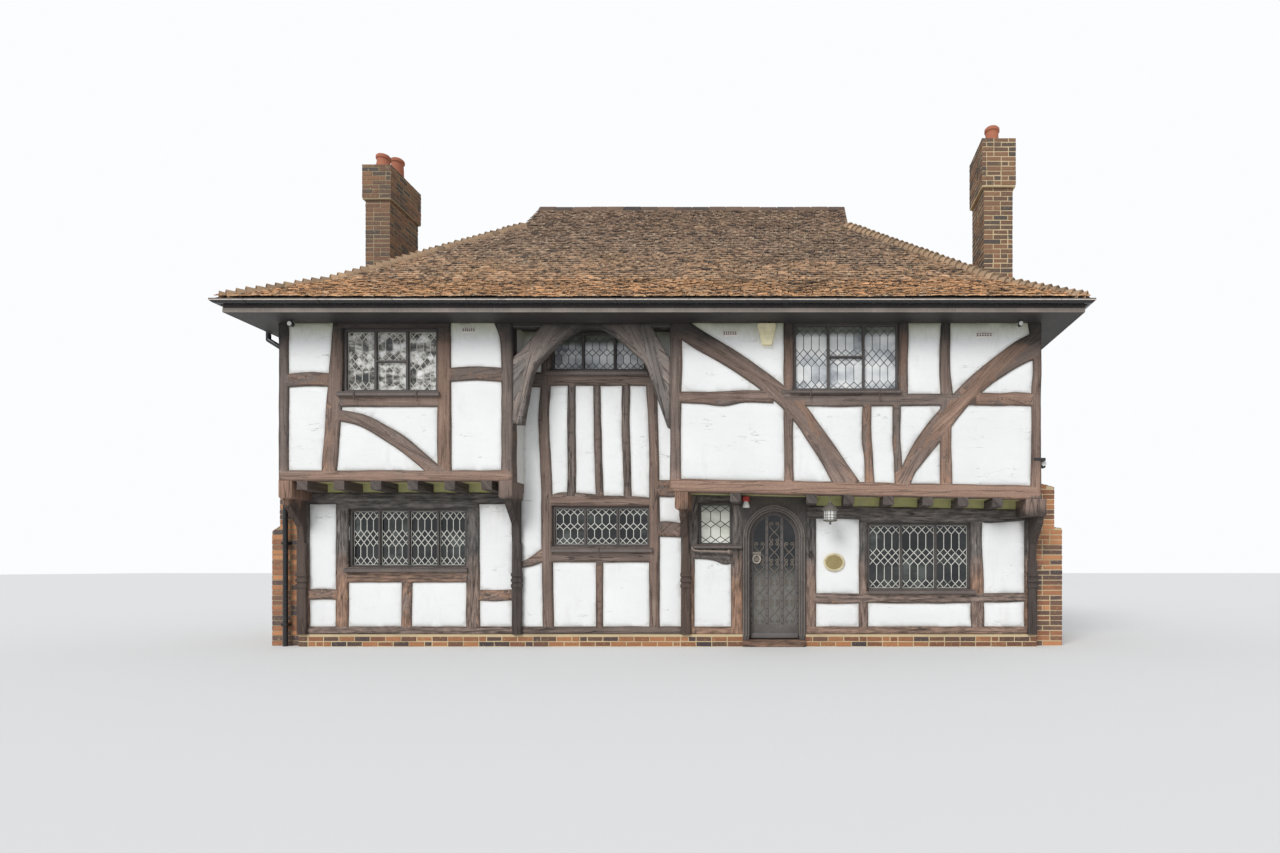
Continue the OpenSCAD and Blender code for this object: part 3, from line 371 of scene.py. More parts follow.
def limewash(name, lime, dirt, soiling=0.5, damp=None):
    """Brushed lime on uneven plaster with hair cracks, grey at its edges, and green stain with painted shade
    under the eaves.
    """
    wash = Finish(name, 0.92)
    brush = wash.cloud((22.0, 22.0, 9.0))
    crack = wash.lines(wash.cloud((1.5, 1.5, 8.0)), 0.0, 0.01)
    wash.body = wash.mix(lime, shade(lime, 0.94), wash.span(wash.cloud(0.8), 0.35, 0.65))
    wash.lay(dirt, wash.span(wash.cloud((5.0, 5.0, 1.1), 5.0, 0.6), 0.58, 0.8), soiling)
    near = wash.span(wash.stray(wash.mark("edge"), brush, 0.0, 1.0, 0.2), -0.05, 0.35, 0.45, 1.0)
    wash.body = wash.mix(dirt, wash.body, near)
    wash.lay(shade(dirt, 0.55), crack, wash.span(wash.cloud((2.6, 2.6, 6.0), 3.0), 0.6, 0.68), 0.75)
    # Under the eaves the lime turns green-grey: green stain together with painted shade
    if damp is not None:
        level = wash.stray(wash.height(), brush, 0.0, 1.0, 0.08)
        wash.lay(damp, wash.span(level, 4.36, 4.6, 0.0, 0.75))
    wash.relief((brush, 0.006, 0.5), (wash.cloud(140.0, 2.0), 0.0012, 0.5),
                (wash.span(crack, 0.0, 1.0, 1.0, 0.0), 0.002, 0.6))
    return wash.done()


def fired_clay(name, tones, lichen, bloom=0.35, relief=0.003, smoke=0.0):
    """Clay whose pieces differ by their tint, with lichen over them and smoke high up."""
    clay = Finish(name, 0.88)
    spots = clay.cloud(38.0, 3.0, 0.6)
    grit = clay.cloud(95.0, 3.0, 0.7)
    clay.body = clay.scale_of_tones(clay.stray(clay.mark("tint"), clay.cloud(9.0), 0.0, 1.0, 0.16), *tones)
    clay.lay(shade(tones[0], 0.72), clay.span(clay.cloud((0.55, 0.55, 0.75), 5.0, 0.6), 0.5, 0.72, 0.0, 0.7))
    clay.lay((0.085, 0.07, 0.055), clay.span(clay.height(), 3.0, 6.2, 0.0, smoke))
    clay.lay(lichen, clay.span(spots, 0.6, 0.7), bloom)
    clay.relief((spots, relief, 0.6), (grit, relief * 0.5, 0.6))
    return clay.done(clay.span(grit, 0.3, 0.7, 0.96, 0.76))


def weathered_tiles(name, roof):
    """Peg tiles: orange near the eaves, grey with lichen over them and brown towards the ridge."""
    tiles = Finish(name, 0.92)
    level = tiles.stray(tiles.height(), tiles.cloud((0.45, 0.45, 1.4), 5.0, 0.6), 0.25, 0.75, 0.7)
    fire = tiles.cloud((16.0, 16.0, 26.0), 5.0, 0.65)
    crust = tiles.cloud((13.0, 13.0, 24.0), 5.0, 0.75)
    burnt = tiles.stray(tiles.mark("tint"), fire, 0.25, 0.75, 0.5)
    bands = [tiles.scale_of_tones(burnt, roof.dark, *shades(clay, 0.55, 1.0, 1.25, 1.7))
             for clay in (roof.warm, roof.grey, roof.clay)]
    tiles.body = tiles.mix(bands[0], bands[1], tiles.span(level, 5.1, 6.1))
    tiles.lay(bands[2], tiles.span(level, 6.0, 7.2))
    tiles.lay((0.46, 0.32, 0.11), tiles.span(tiles.cloud((30.0, 30.0, 44.0), 4.0, 0.7), 0.56, 0.66),
              tiles.span(tiles.cloud((1.1, 1.1, 2.2)), 0.44, 0.62), 0.8)
    tiles.lay((0.7, 0.56, 0.4), tiles.span(crust, 0.545, 0.62), 0.85)
    tiles.lay((0.035, 0.027, 0.026), tiles.span(tiles.cloud((11.0, 11.0, 22.0), 5.0, 0.75), 0.51, 0.58), 0.85)
    tiles.relief((fire, 0.004, 0.7), (crust, 0.003, 0.7))
    return tiles.done()


def old_mortar(name, mortar):
    """Gritty lime mortar, darker where damp sits."""
    bed = Finish(name, 0.95)
    bed.body = bed.scale_of_tones(bed.cloud(1.6), *shades(mortar, 0.55, 1.0, 1.12))
    bed.relief((bed.cloud(150.0, 3.0, 0.7), 0.003, 0.8))
    return bed.done()


def stone_floor(name, stone):
    """Worn flags."""
    flags = Finish(name, 0.8)
    flags.body = flags.scale_of_tones(flags.cloud(3.0, 6.0, 0.65), *shades(stone, 0.6, 1.0, 1.3))
    flags.relief((flags.cloud(120.0, 3.0), 0.002, 0.5))
    return flags.done()


def cast_metal(name, metal, roughness=0.5, metallic=0.8, pitted=0.002):
    """Metal or black plastic with a dull bloom and fine pits."""
    cast = Finish(name, roughness, metallic)
    bloom = cast.cloud(14.0)
    cast.body = cast.scale_of_tones(bloom, *shades(metal, 0.65, 1.0, 1.4))
    cast.relief((cast.cloud(210.0, 3.0, 0.7), pitted, 0.5))
    return cast.done(cast.span(bloom, 0.3, 0.7, roughness * 0.8, min(1.0, roughness * 1.25)))


def old_glass(name, tones, shine=0.1, zone=None, sky_size=1.6):
    """Quarries of old glass, each its own grey, with painted cloudy reflections in them; a zone by height
    paints shade under a head, and a reflection low in the door.
    """
    glass = Finish(name, shine)
    # Cloudy tones in the panes: painted reflections, and the painted shade of rooms behind the glass
    sky = glass.span(glass.cloud((sky_size, sky_size, sky_size * 1.7), 4.0, 0.6), 0.32, 0.68)
    glass.body = glass.scale_of_tones(glass.stray(sky, glass.mark("tint"), 0.0, 1.0, 0.34), *tones)
    # The zone by height: painted shade under a head, painted reflection low in the door
    if zone is not None:
        first, last, tone_there, share = zone
        glass.lay(tone_there, glass.span(glass.height(), first, last, 0.0, share))
    glass.relief((glass.cloud((14.0, 14.0, 8.0), 3.0), 0.004, 0.25))
    glass.shader.inputs["Specular IOR Level"].default_value = 0.75
    return glass.done()


# Shapes

def circle(count, radius):
    """Pairs round a circle."""
    return [(radius * math.cos(math.tau * i / count), radius * math.sin(math.tau * i / count))
            for i in range(count)]


def around(loop):
    """Each side of a closed outline."""
    return zip(loop, loop[1:] + loop[:1])


class Heap:
    """Points and faces of many small pieces, each with its tint, that become one mesh."""

    def __init__(self):
        self.points, self.faces, self.tints = [], [], []

    def loft(self, rings, tint=0.5):
        """Adds a closed piece skinned over rings of points that have equal counts."""
        first, count = len(self.points), len(rings[0])
        last = first + (len(rings) - 1) * count
        for start in range(first, last, count):
            for i in range(count):
                a, b = start + i, start + (i + 1) % count
                self.faces.append((a, b, b + count, a + count))
        self.faces += [tuple(range(first + count - 1, first - 1, -1)), tuple(range(last, last + count))]
        self.points += [p for ring in rings for p in ring]
        self.tints += [tint] * (len(self.faces) - len(self.tints))

    def box(self, low, high, ease):
        """Adds a box whose upright edges and rims are eased."""
        rings = []
        cut = ease * 0.7
        for z, inset in ((low[2], ease), (low[2] + ease, 0), (high[2] - ease, 0), (high[2], ease)):
            x0, y0, x1, y1 = low[0] + inset, low[1] + inset, high[0] - inset, high[1] - inset
            rings.append([Vector((x, y, z)) for x, y in (
                (x0 + cut, y0), (x1 - cut, y0), (x1, y0 + cut), (x1, y1 - cut),
                (x1 - cut, y1), (x0 + cut, y1), (x0, y1 - cut), (x0, y0 + cut))])
        self.loft(rings)

    def turn(self, profile, place, axis="Z", sides=24):
        """Adds a turned piece: the profile holds radius and height pairs along its axis."""
        turned = Matrix() if axis == "Z" else Matrix.Rotation(math.radians(90), 4, "YX"[axis == "Y"])
        self.loft([[turned @ Vector((u, v, height)) + Vector(place) for u, v in circle(sides, radius)]
                   for radius, height in profile])

    def sweep(self, path, section, up=FRONT):
        """Adds a section carried along a path; the section's points are to the side and up."""
        rings = []
        for i, point in enumerate(path):
            ahead = path[min(i + 1, len(path) - 1)] - path[max(i - 1, 0)]
            side = ahead.cross(up).normalized()
            rise = side.cross(ahead).normalized()
            rings.append([point + side * s + rise * r for s, r in section])
        self.loft(rings)

    def piece(self, name, material, slot, soft_angle=35.0, body=HOUSE, replaces=()):
        """Hands the heap over as one piece."""
        mesh = bpy.data.meshes.new(name)
        mesh.from_pydata(self.points, [], self.faces)
        mesh.attributes.new("tint", "FLOAT", "FACE").data.foreach_set("value", self.tints)
        shaped = bmesh.new()
        shaped.from_mesh(mesh)
        bpy.data.meshes.remove(mesh)
        hand_over(name, shaped, material, soft_angle, body, replaces)


def hand_over(name, shaped, material, soft_angle=35.0, body=HOUSE, replaces=()):
    """Makes a finished piece of the house or its door, with its normals out."""
    bmesh.ops.recalc_face_normals(shaped, faces=shaped.faces)
    mesh = bpy.data.meshes.new(name)
    shaped.to_mesh(mesh)
    shaped.free()
    mesh.shade_smooth()
    mesh.set_sharp_from_angle(angle=math.radians(soft_angle))
    mesh.materials.append(material)
    made = bpy.data.objects.new(name, mesh)
    bpy.context.scene.collection.objects.link(made)
    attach(made, body)
    if replaces:
        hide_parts(*replaces)


def dress(material, *nodes):
    """Gives CAD nodes a finished material."""
    for name in nodes:
        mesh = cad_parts[name].data
        mesh.materials.clear()
        mesh.materials.append(material)


def odd_tint(draw, middle, spread):
    """A tint from 0 to 1, drawn round a middle."""
    return min(1.0, max(0.0, draw.gauss(middle, spread)))


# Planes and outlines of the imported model

class Plane:
    """A plane of a wall with its ways along, up and out; flat points are along and up."""

    def __init__(self, out, offset):
        self.out = Vector(out).normalized()
        self.along = UP.cross(self.out).normalized() if abs(self.out.z) < 0.9999 else Vector((1, 0, 0))
        self.up = self.out.cross(self.along)
        self.offset = offset

    def flat(self, point):
        return (point.dot(self.along), point.dot(self.up))

    def solid(self, flat, depth=0.0):
        """The point in the house that lies a depth behind the plane."""
        return self.along * flat[0] + self.up * flat[1] + self.out * (self.offset - depth)


def planes_of(node, least_area=0.01, level=0.95):
    """Each plane of a node that isn't level, with its outlines: counter-clockwise ones hold what is solid."""
    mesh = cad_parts[node].data
    groups = defaultdict(list)
    for polygon in mesh.polygons:
        if abs(polygon.normal.z) < level and polygon.area > 1e-8:
            offset = polygon.normal.dot(mesh.vertices[polygon.vertices[0]].co)
            key = tuple(round(c, 2) for c in polygon.normal) + (round(offset, 3),)
            groups[key].append(polygon)
    found = []
    for key in sorted(groups):
        polygons = groups[key]
        if sum(p.area for p in polygons) >= least_area:
            offset = polygons[0].normal.dot(mesh.vertices[polygons[0].vertices[0]].co)
            plane = Plane(polygons[0].normal, offset)
            found.append((plane, outlines(mesh, polygons, plane)))
    return found


def outer_plane(node, out):
    """The outermost plane of a node that faces a way, with its outlines."""
    facing = [(plane, loops) for plane, loops in planes_of(node) if plane.out.dot(out) > 0.999]
    return max(facing, key=lambda found: found[0].offset)


def outlines(mesh, polygons, plane):
    """Closed outlines round faces in one plane, as lists of flat points."""
    edges = {}
    for polygon in polygons:
        corners = [plane.flat(mesh.vertices[i].co) for i in polygon.vertices]
        corners = [(round(u, 4), round(v, 4)) for u, v in corners]
        for a, b in around(corners):
            if edges.pop((b, a), None) is None and a != b:
                edges[(a, b)] = True
    following = defaultdict(list)
    for a, b in edges:
        following[a].append(b)
    loops = []
    while following:
        start = next(iter(following))
        loop = [start]
        while True:
            options = following[loop[-1]]
            ahead = options.pop()
            if not options:
                del following[loop[-1]]
            if ahead == start or ahead not in following:
                break
            loop.append(ahead)
        loops.append(without_straight_points(loop))
    return [loop for loop in loops if len(loop) > 2]


def without_straight_points(loop, least=1e-5):
    """The outline without points that lie on a straight stretch."""
    kept = []
    for i, point in enumerate(loop):
        before, after = loop[i - 1], loop[(i + 1) % len(loop)]
        cross = ((point[0] - before[0]) * (after[1] - point[1])
                 - (point[1] - before[1]) * (after[0] - point[0]))
        if abs(cross) > least * max(0.05, math.dist(before, after)):
            kept.append(point)
    return kept


def signed_area(loop):
    """Area of an outline, below zero for a hole."""
    return 0.5 * sum(a[0] * b[1] - b[0] * a[1] for a, b in around(loop))


def with_steps(loop, step):
    """The outline with points added so that no stretch is longer than a step."""
    filled = []
    for a, b in around(loop):
        count = max(1, math.ceil(math.dist(a, b) / step))
        for i in range(count):
            share = i / count
            filled.append((a[0] + (b[0] - a[0]) * share, a[1] + (b[1] - a[1]) * share))
    return filled


def shifted(loop, amounts):
    """The outline with each point moved out of its solid by its own amount."""
    moved = []
    for i, point in enumerate(loop):
        before, after = loop[i - 1], loop[(i + 1) % len(loop)]
        ahead = Vector((point[0] - before[0], point[1] - before[1])).normalized()
        behind = Vector((after[0] - point[0], after[1] - point[1])).normalized()
        out = Vector((ahead.y + behind.y, -ahead.x - behind.x))
        if out.length < 0.3:
            out = Vector((ahead.y, -ahead.x)) * 2
        reach = amounts[i] / max(0.6, out.length / 2)
        out.normalize()
        moved.append((point[0] + out.x * reach, point[1] + out.y * reach))
    return moved


def is_inside(points, loops):
    """Which of many flat points lie inside outlines."""
    points = np.asarray(points, float).reshape(-1, 2)
    inside = np.zeros(len(points), bool)
    for loop in loops:
        for (x0, y0), (x1, y1) in around(loop):
            if y0 != y1:
                level = (points[:, 1] > y0) != (points[:, 1] > y1)
                inside ^= level & (points[:, 0] < x0 + (points[:, 1] - y0) * (x1 - x0) / (y1 - y0))
    return inside


def distance_to(points, loops):
    """How far each flat point lies from the nearest outline."""
    points = np.asarray(points, float).reshape(-1, 2)
    nearest = np.full(len(points), 1e9)
    for loop in loops:
        for a, b in around(loop):
            a, b = np.array(a), np.array(b)
            span = b - a
            share = np.clip((points - a) @ span / max(span @ span, 1e-12), 0, 1)
            nearest = np.minimum(nearest, np.hypot(*(points - a - share[:, None] * span).T))
    return nearest


def grid_inside(loops, cell, clearance, seed):
    """Points of an uneven grid that lie inside outlines and clear of them."""
    draw = random.Random(seed)
    flat = [p for loop in loops for p in loop]
    (u0, v0), (u1, v1) = np.min(flat, axis=0), np.max(flat, axis=0)
    points = []
    for row in range(int((v1 - v0) / cell) + 1):
        for column in range(int((u1 - u0) / cell) + 1):
            points.append((
                u0 + (column + 0.5 * (row % 2) + draw.uniform(-0.2, 0.2)) * cell,
                v0 + (row + draw.uniform(-0.2, 0.2)) * cell))
    points = np.array(points)
    points = points[is_inside(points, loops)]
    return points[distance_to(points, loops) > clearance]


def triangles_inside(loops, extra):
    """Flat points and triangles that fill outlines, through extra points inside them."""
    points = [Vector(p) for loop in loops for p in loop] + [Vector(p) for p in extra]
    edges = []
    start = 0
    for loop in loops:
        edges += [(start + i, start + (i + 1) % len(loop)) for i in range(len(loop))]
        start += len(loop)
    spread, _, faces, _, _, _ = geometry.delaunay_2d_cdt(points, edges, [], 0, 1e-6)
    spread = [tuple(p) for p in spread]
    middles = [np.mean([spread[i] for i in face], axis=0) for face in faces]
    keep = is_inside(middles, loops)
    return spread, [face for face, wanted in zip(faces, keep) if wanted]


# Hewn timbers and plaster panels

FRAMES = {
    "left_bay_timbers": (FRONT, "upper"),
    "hall_timbers": (FRONT, "hall"),
    "right_bay_timbers": (FRONT, "upper"),
    "recess_braces": (FRONT, "brace"),
    "ground_front_timbers": (FRONT, "lower"),
    "back_timbers": (BACK, "upper"),
    "left_side_timbers": (LEFT, "upper"),
    "right_side_timbers": (RIGHT, "upper"),
}
PANELS = {node.replace("timbers", "plaster"): out for node, (out, _) in FRAMES.items() if "timbers" in node}
# The wedge that closes the gap between the right bay's rail and its brace
RAIL_END = ((4.33, 3.458), (4.47, 3.455), (4.47, 3.61), (4.4, 3.56))
GRAIN_ANGLES = [math.radians(15 * i) for i in range(12)]


def face_piece(name, node, out, material, cell, stray, arris, depth_at, grained):
    """A wall piece made from a node's outer plane.

    Its outline strays by stray, its edges are eased by arris, and depth_at(point, distance) says how
    deep a point of its face lies, by its distance from the outline.
    """
    plane, loops = outer_plane(node, out)
    low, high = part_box(node)
    deep = abs((high - low).dot(out))
    rims = [with_steps(loop, cell) for loop in loops]
    wander = [[stray * (0.5 + noise.noise(plane.solid(p) * 3.1)) for p in rim] for rim in rims]
    outer = [shifted(rim, w) for rim, w in zip(rims, wander)]
    inner = [shifted(rim, [x - arris for x in w]) for rim, w in zip(rims, wander)]
    shaped = bmesh.new()
    edge_layer = shaped.verts.layers.float.new("edge")
    flat, triangles = triangles_inside(inner, grid_inside(inner, cell, cell * 0.35, node))
    distances = distance_to(flat, inner)
    front = []
    for point, distance in zip(flat, distances):
        vertex = shaped.verts.new(plane.solid(point, depth_at(plane.solid(point), distance)))
        vertex[edge_layer] = min(1.0, distance / 0.12)
        front.append(vertex)
    for triangle in triangles:
        shaped.faces.new([front[i] for i in triangle])
    flat, triangles = triangles_inside(outer, [])
    back = [shaped.verts.new(plane.solid(point, deep)) for point in flat]
    for triangle in triangles:
        shaped.faces.new([back[i] for i in reversed(triangle)])
    for inner_loop, outer_loop in zip(inner, outer):
        rings = [
            [shaped.verts.new(plane.solid(p, depth_at(plane.solid(p), 0.0))) for p in inner_loop],
            [shaped.verts.new(plane.solid(p, arris + depth_at(plane.solid(p), 0.0))) for p in outer_loop],
            [shaped.verts.new(plane.solid(p, deep)) for p in outer_loop]]
        for ring, below in zip(rings, rings[1:]):
            for i in range(len(ring)):
                j = (i + 1) % len(ring)
                shaped.faces.new([ring[i], below[i], below[j], ring[j]])
    bmesh.ops.remove_doubles(shaped, verts=shaped.verts, dist=2e-5)
    if grained:
        lay_grain(shaped, plane, outer)
    hand_over(name, shaped, material, 42, replaces=[node])


def timber_map(loops, pixel=0.03, reach=40):
    """A raster of timbers: which way the wood runs at each pixel, and a number for each timber."""
    flat = [p for loop in loops for p in loop]
    low = np.min(flat, axis=0) - pixel
    columns, rows = np.ceil((np.max(flat, axis=0) - low) / pixel).astype(int) + 2
    middles = np.stack(np.meshgrid(np.arange(columns), np.arange(rows)), axis=-1).reshape(-1, 2)
    solid = is_inside(low + (middles + 0.5) * pixel, loops).reshape(rows, columns)
    best = np.zeros(solid.shape)
    way = np.zeros(solid.shape, int)
    padded = np.pad(solid, reach + 1)
    for k, angle in enumerate(GRAIN_ANGLES):
        chord = np.zeros(solid.shape)
        for sign in (1, -1):
            alive = solid.copy()
            for step in range(1, reach + 1):
                du = round(sign * step * math.cos(angle)) + reach + 1
                dv = round(sign * step * math.sin(angle)) + reach + 1
                alive &= padded[dv:dv + rows, du:du + columns]
                chord += alive
        chord *= {0: 1.0, 6: 0.85}.get(k, 1.25)
        way = np.where(chord > best, k, way)
        best = np.maximum(best, chord)
    number = np.arange(solid.size).reshape(solid.shape)
    while True:
        before = number.copy()
        for axis in (0, 1):
            for turn in (1, -1):
                same = (np.roll(way, turn, axis) == way) & solid & np.roll(solid, turn, axis)
                number = np.where(same, np.maximum(number, np.roll(number, turn, axis)), number)
        if (number == before).all():
            break
    return low, pixel, way, number


def lay_grain(shaped, plane, loops):
    """Runs the grain of each face along its timber and gives each timber a tint of its own."""
    low, pixel, way, number = timber_map(loops)
    grain = shaped.loops.layers.uv.new("grain")
    tint = shaped.faces.layers.float.new("tint")
    for face in shaped.faces:
        u, v = plane.flat(face.calc_center_median())
        column = min(max(int((u - low[0]) / pixel), 0), way.shape[1] - 1)
        row = min(max(int((v - low[1]) / pixel), 0), way.shape[0] - 1)
        angle = GRAIN_ANGLES[way[row, column]]
        number_here = int(number[row, column])
        face[tint] = random.Random(number_here).random()
        along = plane.along * math.cos(angle) + plane.up * math.sin(angle)
        across = plane.out.cross(along)
        for corner in face.loops:
            point = corner.vert.co
            corner[grain].uv = (point.dot(along) + number_here * 0.37 % 9,
                                point.dot(across) + point.dot(plane.out) * 0.9)


def separate_parts(shaped):
    """The faces and corners of each separate part of a mesh.

    They come in the order of their lowest corners, because a bevel's faces come in another order each run.
    """
    seen, parts = set(), []
    for first in shaped.faces:
        if first in seen:
            continue
        seen.add(first)
        part = [first]
        for face in part:
            for edge in face.edges:
                for other in edge.link_faces:
                    if other not in seen:
                        seen.add(other)
                        part.append(other)
        parts.append((part, np.array([v.co for face in part for v in face.verts])))
    return sorted(parts, key=lambda found: min(map(tuple, found[1].round(4).tolist())))


def grain_by_part(shaped):
    """Runs the grain along the longest way of each separate part of a mesh."""
    grain = shaped.loops.layers.uv.new("grain")
    tint = shaped.faces.layers.float.new("tint")
    for number, (part, points) in enumerate(separate_parts(shaped)):
        extents = np.ptp(points, axis=0)
        axes = sorted(range(3), key=lambda a: -extents[a])
        shade_of_part = random.Random(number).random()
        for face in part:
            face[tint] = shade_of_part
            for corner in face.loops:
                point = corner.vert.co
                corner[grain].uv = (point[axes[0]], point[axes[1]] + point[axes[2]] * 0.9)


def worn_copy(name, node, material, ease, body=HOUSE):
    """A node's own shape with its edges eased, grained along each part."""
    shaped = bmesh.new()
    shaped.from_mesh(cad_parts[node].data)
    bmesh.ops.remove_doubles(shaped, verts=shaped.verts, dist=1e-4)
    bmesh.ops.dissolve_limit(shaped, angle_limit=math.radians(0.6), verts=shaped.verts, edges=shaped.edges)
    sharp = [e for e in shaped.edges if len(e.link_faces) == 2 and e.calc_face_angle(0) > math.radians(28)]
    bmesh.ops.bevel(shaped, geom=sharp, offset=ease, segments=2, profile=0.6, affect="EDGES",
                    clamp_overlap=True)
    bmesh.ops.triangulate(shaped, faces=[f for f in shaped.faces if len(f.verts) > 4])
    grain_by_part(shaped)
    hand_over(name, shaped, material, 25, body, [node])


class HOUSE_OT_timbers(bpy.types.Operator):
    """Hew the timber frames, with the grain along each timber"""

    bl_idname = "house.timbers"
    bl_label = "Timber frames"

    def execute(self, context):
        oak = trade("timber")
        woods = {
            # Upper oak: ruddy jetty beams below 2.42 m by their own colour; darker from 3.6 m and near black
            # from 4.3 m, stain with painted shade under the eaves
            "upper": hewn_oak("upper_oak", oak.upper, oak.bare, 0.35,
                              ((2.62, 2.42, oak.ruddy), (3.6, 4.45, shade(oak.upper, 0.5)),
                               (4.3, 4.46, oak.stain_and_eaves_shade)), 0.4),
            # Hall oak: darker from 3.0 m, painted shade of the recess, and near black from 4.1 m, stain with
            # painted shade under the eaves
            "hall": hewn_oak("hall_oak", shade(oak.upper, 0.92), oak.bare, 0.5,
                             ((3.0, 3.9, oak.hall), (4.1, 4.5, oak.stain_and_eaves_shade)), 0.8),
            # Braces: near black from 4.36 m, stain with painted shade under the plate
            "brace": hewn_oak("brace_oak", (0.205, 0.17, 0.15), oak.bare, 0.5,
                              ((4.36, 4.62, oak.stain_and_eaves_shade),), 0.8),
            "lower": hewn_oak("lower_oak", oak.lower, shade(oak.bare, 0.8), 0.5,
                              ((1.4, 0.95, oak.foot),), 0.7, 0.42)}

        def hewn(point, distance):
            hollow = 0.5 + 0.5 * noise.noise(point * 9.0) + 0.35 * noise.noise(point * 23.0)
            worn = max(0.0, 1 - distance / 0.03) * 0.003
            return oak.hewing * max(0.0, hollow) + worn

        for node, (out, wood) in FRAMES.items():
            face_piece("hewn_" + node, node, out, woods[wood], oak.cell, oak.wander, oak.arris,
                       hewn, True)
        ends = hewn_oak("end_grain", shade(oak.ruddy, 1.2), shade(oak.ruddy, 1.5), 0.5,
                        ((2.1, 2.0, (0.09, 0.066, 0.056)),))
        worn_copy("worn_corner_brackets", "corner_brackets", ends, 0.008)
        wedge = Heap()
        wedge.loft([[Vector((x, y, z)) for x, z in RAIL_END] for y in (-3.294, -3.27)])
        wedge.piece("rail_end", woods["upper"], "oak")
        joist_wood = hewn_oak("joist_oak", (0.17, 0.132, 0.114), oak.bare, 0.4)
        worn_copy("worn_jetty_joists", "jetty_joists", joist_wood, 0.006)
        for node in ("threshold", "gablets"):
            worn_copy("worn_" + node, node, woods["lower"], 0.006)
        dress(woods["upper"], "long_plates", "end_plates")
        return {"FINISHED"}


class HOUSE_OT_plaster(bpy.types.Operator):
    """Fill the frames with uneven limewashed panels"""

    bl_idname = "house.plaster"
    bl_label = "Plaster panels"

    def execute(self, context):
        plaster = trade("plaster")
        # Its last tone: green stain with painted shade under the eaves
        white = limewash("limewash", plaster.lime, plaster.dirt, 0.3, (0.42, 0.43, 0.27))
        cream = limewash("cream_wash", plaster.cream, shade(plaster.dirt, 0.6), 0.7)

        def floated(point, distance):
            swell = plaster.pillow * min(1.0, distance / 0.16)
            hollow = plaster.wave * noise.noise(point * 3.3) + 0.4 * plaster.wave * noise.noise(point * 9.1)
            return 0.004 - swell + hollow * min(1.0, distance / 0.06)

        for node, out in PANELS.items():
            face_piece("floated_" + node, node, out, white, plaster.cell, 0.0, 0.004,
                       floated, False)
        dress(white, "recess_returns")
        dress(cream, "joist_filling", "upper_floors")
        return {"FINISHED"}


# Roof

SLOPES = {"front_slope": FRONT, "back_slope": BACK, "left_slope": LEFT, "right_slope": RIGHT}
# How far the lowest course hangs over the eaves, and how many gauges of a tile lie on the slope
OVERHANG, HEAD_LAP = 0.035, 1.35
# Crown and drop of a bonnet's arc: at its tail, of the mortar under its tail, at its head and of the ridge
TAIL_ARC, BED_ARC, HEAD_ARC, RIDGE_ARC = (0.082, 0.152), (0.082, 0.15), (0.03, 0.09), (0.0, 0.135)


class Slope:
    """A roof slope, read from its node: its profile from the eaves up and its width at each height."""

    def __init__(self, node, out):
        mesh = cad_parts[node].data
        self.out = out
        self.along = UP.cross(out).normalized()
        points = [v.co for v in mesh.vertices]
        self.tree = BVHTree.FromPolygons(points, [tuple(p.vertices) for p in mesh.polygons])
        self.triangles = [[points[i] for i in p.vertices] for p in mesh.polygons]
        low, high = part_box(node)
        self.edge = max(abs(low.dot(out)), abs(high.dot(out)))
        self.run = abs((high - low).dot(out))
        self.middle = 0.5 * (low + high).dot(self.along)
        self.profile = self.measure()

    def measure(self, steps=160):
        """Pairs of distance up the slope, distance in from the edge and height."""
        found = []
        for i in range(steps + 1):
            inward = self.run * min(max(i / steps, 0.0004), 0.9996)
            hits = (self.plumb(self.middle + aside, inward) for aside in (0.0, 0.7, -0.7, 1.6, -1.6))
            hit = next((hit for hit in hits if hit is not None), None)
            if hit is not None:
                found.append((inward, hit.z))
        up_slope = [0.0]
        for (a, low), (b, high) in zip(found, found[1:]):
            up_slope.append(up_slope[-1] + math.hypot(b - a, high - low))
        return np.array([(s, d, z) for s, (d, z) in zip(up_slope, found)])

    def length(self):
        return self.profile[-1][0]

    def at(self, up_slope):
        """Distance in from the edge and height at a distance up the slope."""
        inward, height = (float(np.interp(up_slope, self.profile[:, 0], self.profile[:, k])) for k in (1, 2))
        below = min(up_slope, 0.0)
        return inward + below * 0.84, height + below * 0.54

    def width(self, height):
        """The slope's ends at a height, along the wall."""
        ends = []
        for corners in self.triangles:
            for a, b in around(corners):
                if (a.z - height) * (b.z - height) < 0:
                    share = (height - a.z) / (b.z - a.z)
                    ends.append((a + (b - a) * share).dot(self.along))
        return (min(ends), max(ends)) if ends else (0.0, 0.0)

    def plumb(self, along, inward):
        """Where a plumb line meets the slope, or None beside it and over a stack."""
        return self.tree.ray_cast(self.solid(along, inward, 20), -UP)[0]

    def solid(self, along, inward, height):
        return self.out * (self.edge - inward) + self.along * along + UP * height


def lay_tiles(heap, slope, roof, draw):
    """Lays peg tiles course by course, cut at the hips and left out round the stacks."""
    courses = int((slope.length() - 0.02) / roof.gauge)
    for course in range(-1, courses):
        tail = course * roof.gauge if course >= 0 else -OVERHANG
        head = min(max(tail, 0.0) + roof.gauge * HEAD_LAP, slope.length())
        reach = [slope.at(tail), slope.at(head)]
        bottom, top = slope.profile[0][2] + 0.002, slope.profile[-1][2] - 0.002
        ends = [slope.width(min(max(height, bottom), top)) for _, height in reach]
        offset = roof.tile_width * (0.5 if course % 2 else 0.0)
        first = math.floor((ends[0][0] - offset) / roof.tile_width)
        last = math.ceil((ends[0][1] - offset) / roof.tile_width)
        for column in range(first, last + 1):
            left = column * roof.tile_width + offset + draw.uniform(-0.004, 0.004)
            right = left + roof.tile_width - draw.uniform(0.003, 0.008)
            tint = odd_tint(draw, 0.5, 0.16)
            middle = 0.5 * (left + right)
            if min(right, ends[0][1]) - max(left, ends[0][0]) < 0.03:
                continue
            if slope.plumb(min(max(middle, ends[0][0]), ends[0][1]), max(reach[0][0], 0.0) + 0.03) is None:
                continue
            lay_tile(heap, slope, roof, (left, right), reach, ends, tint, draw)


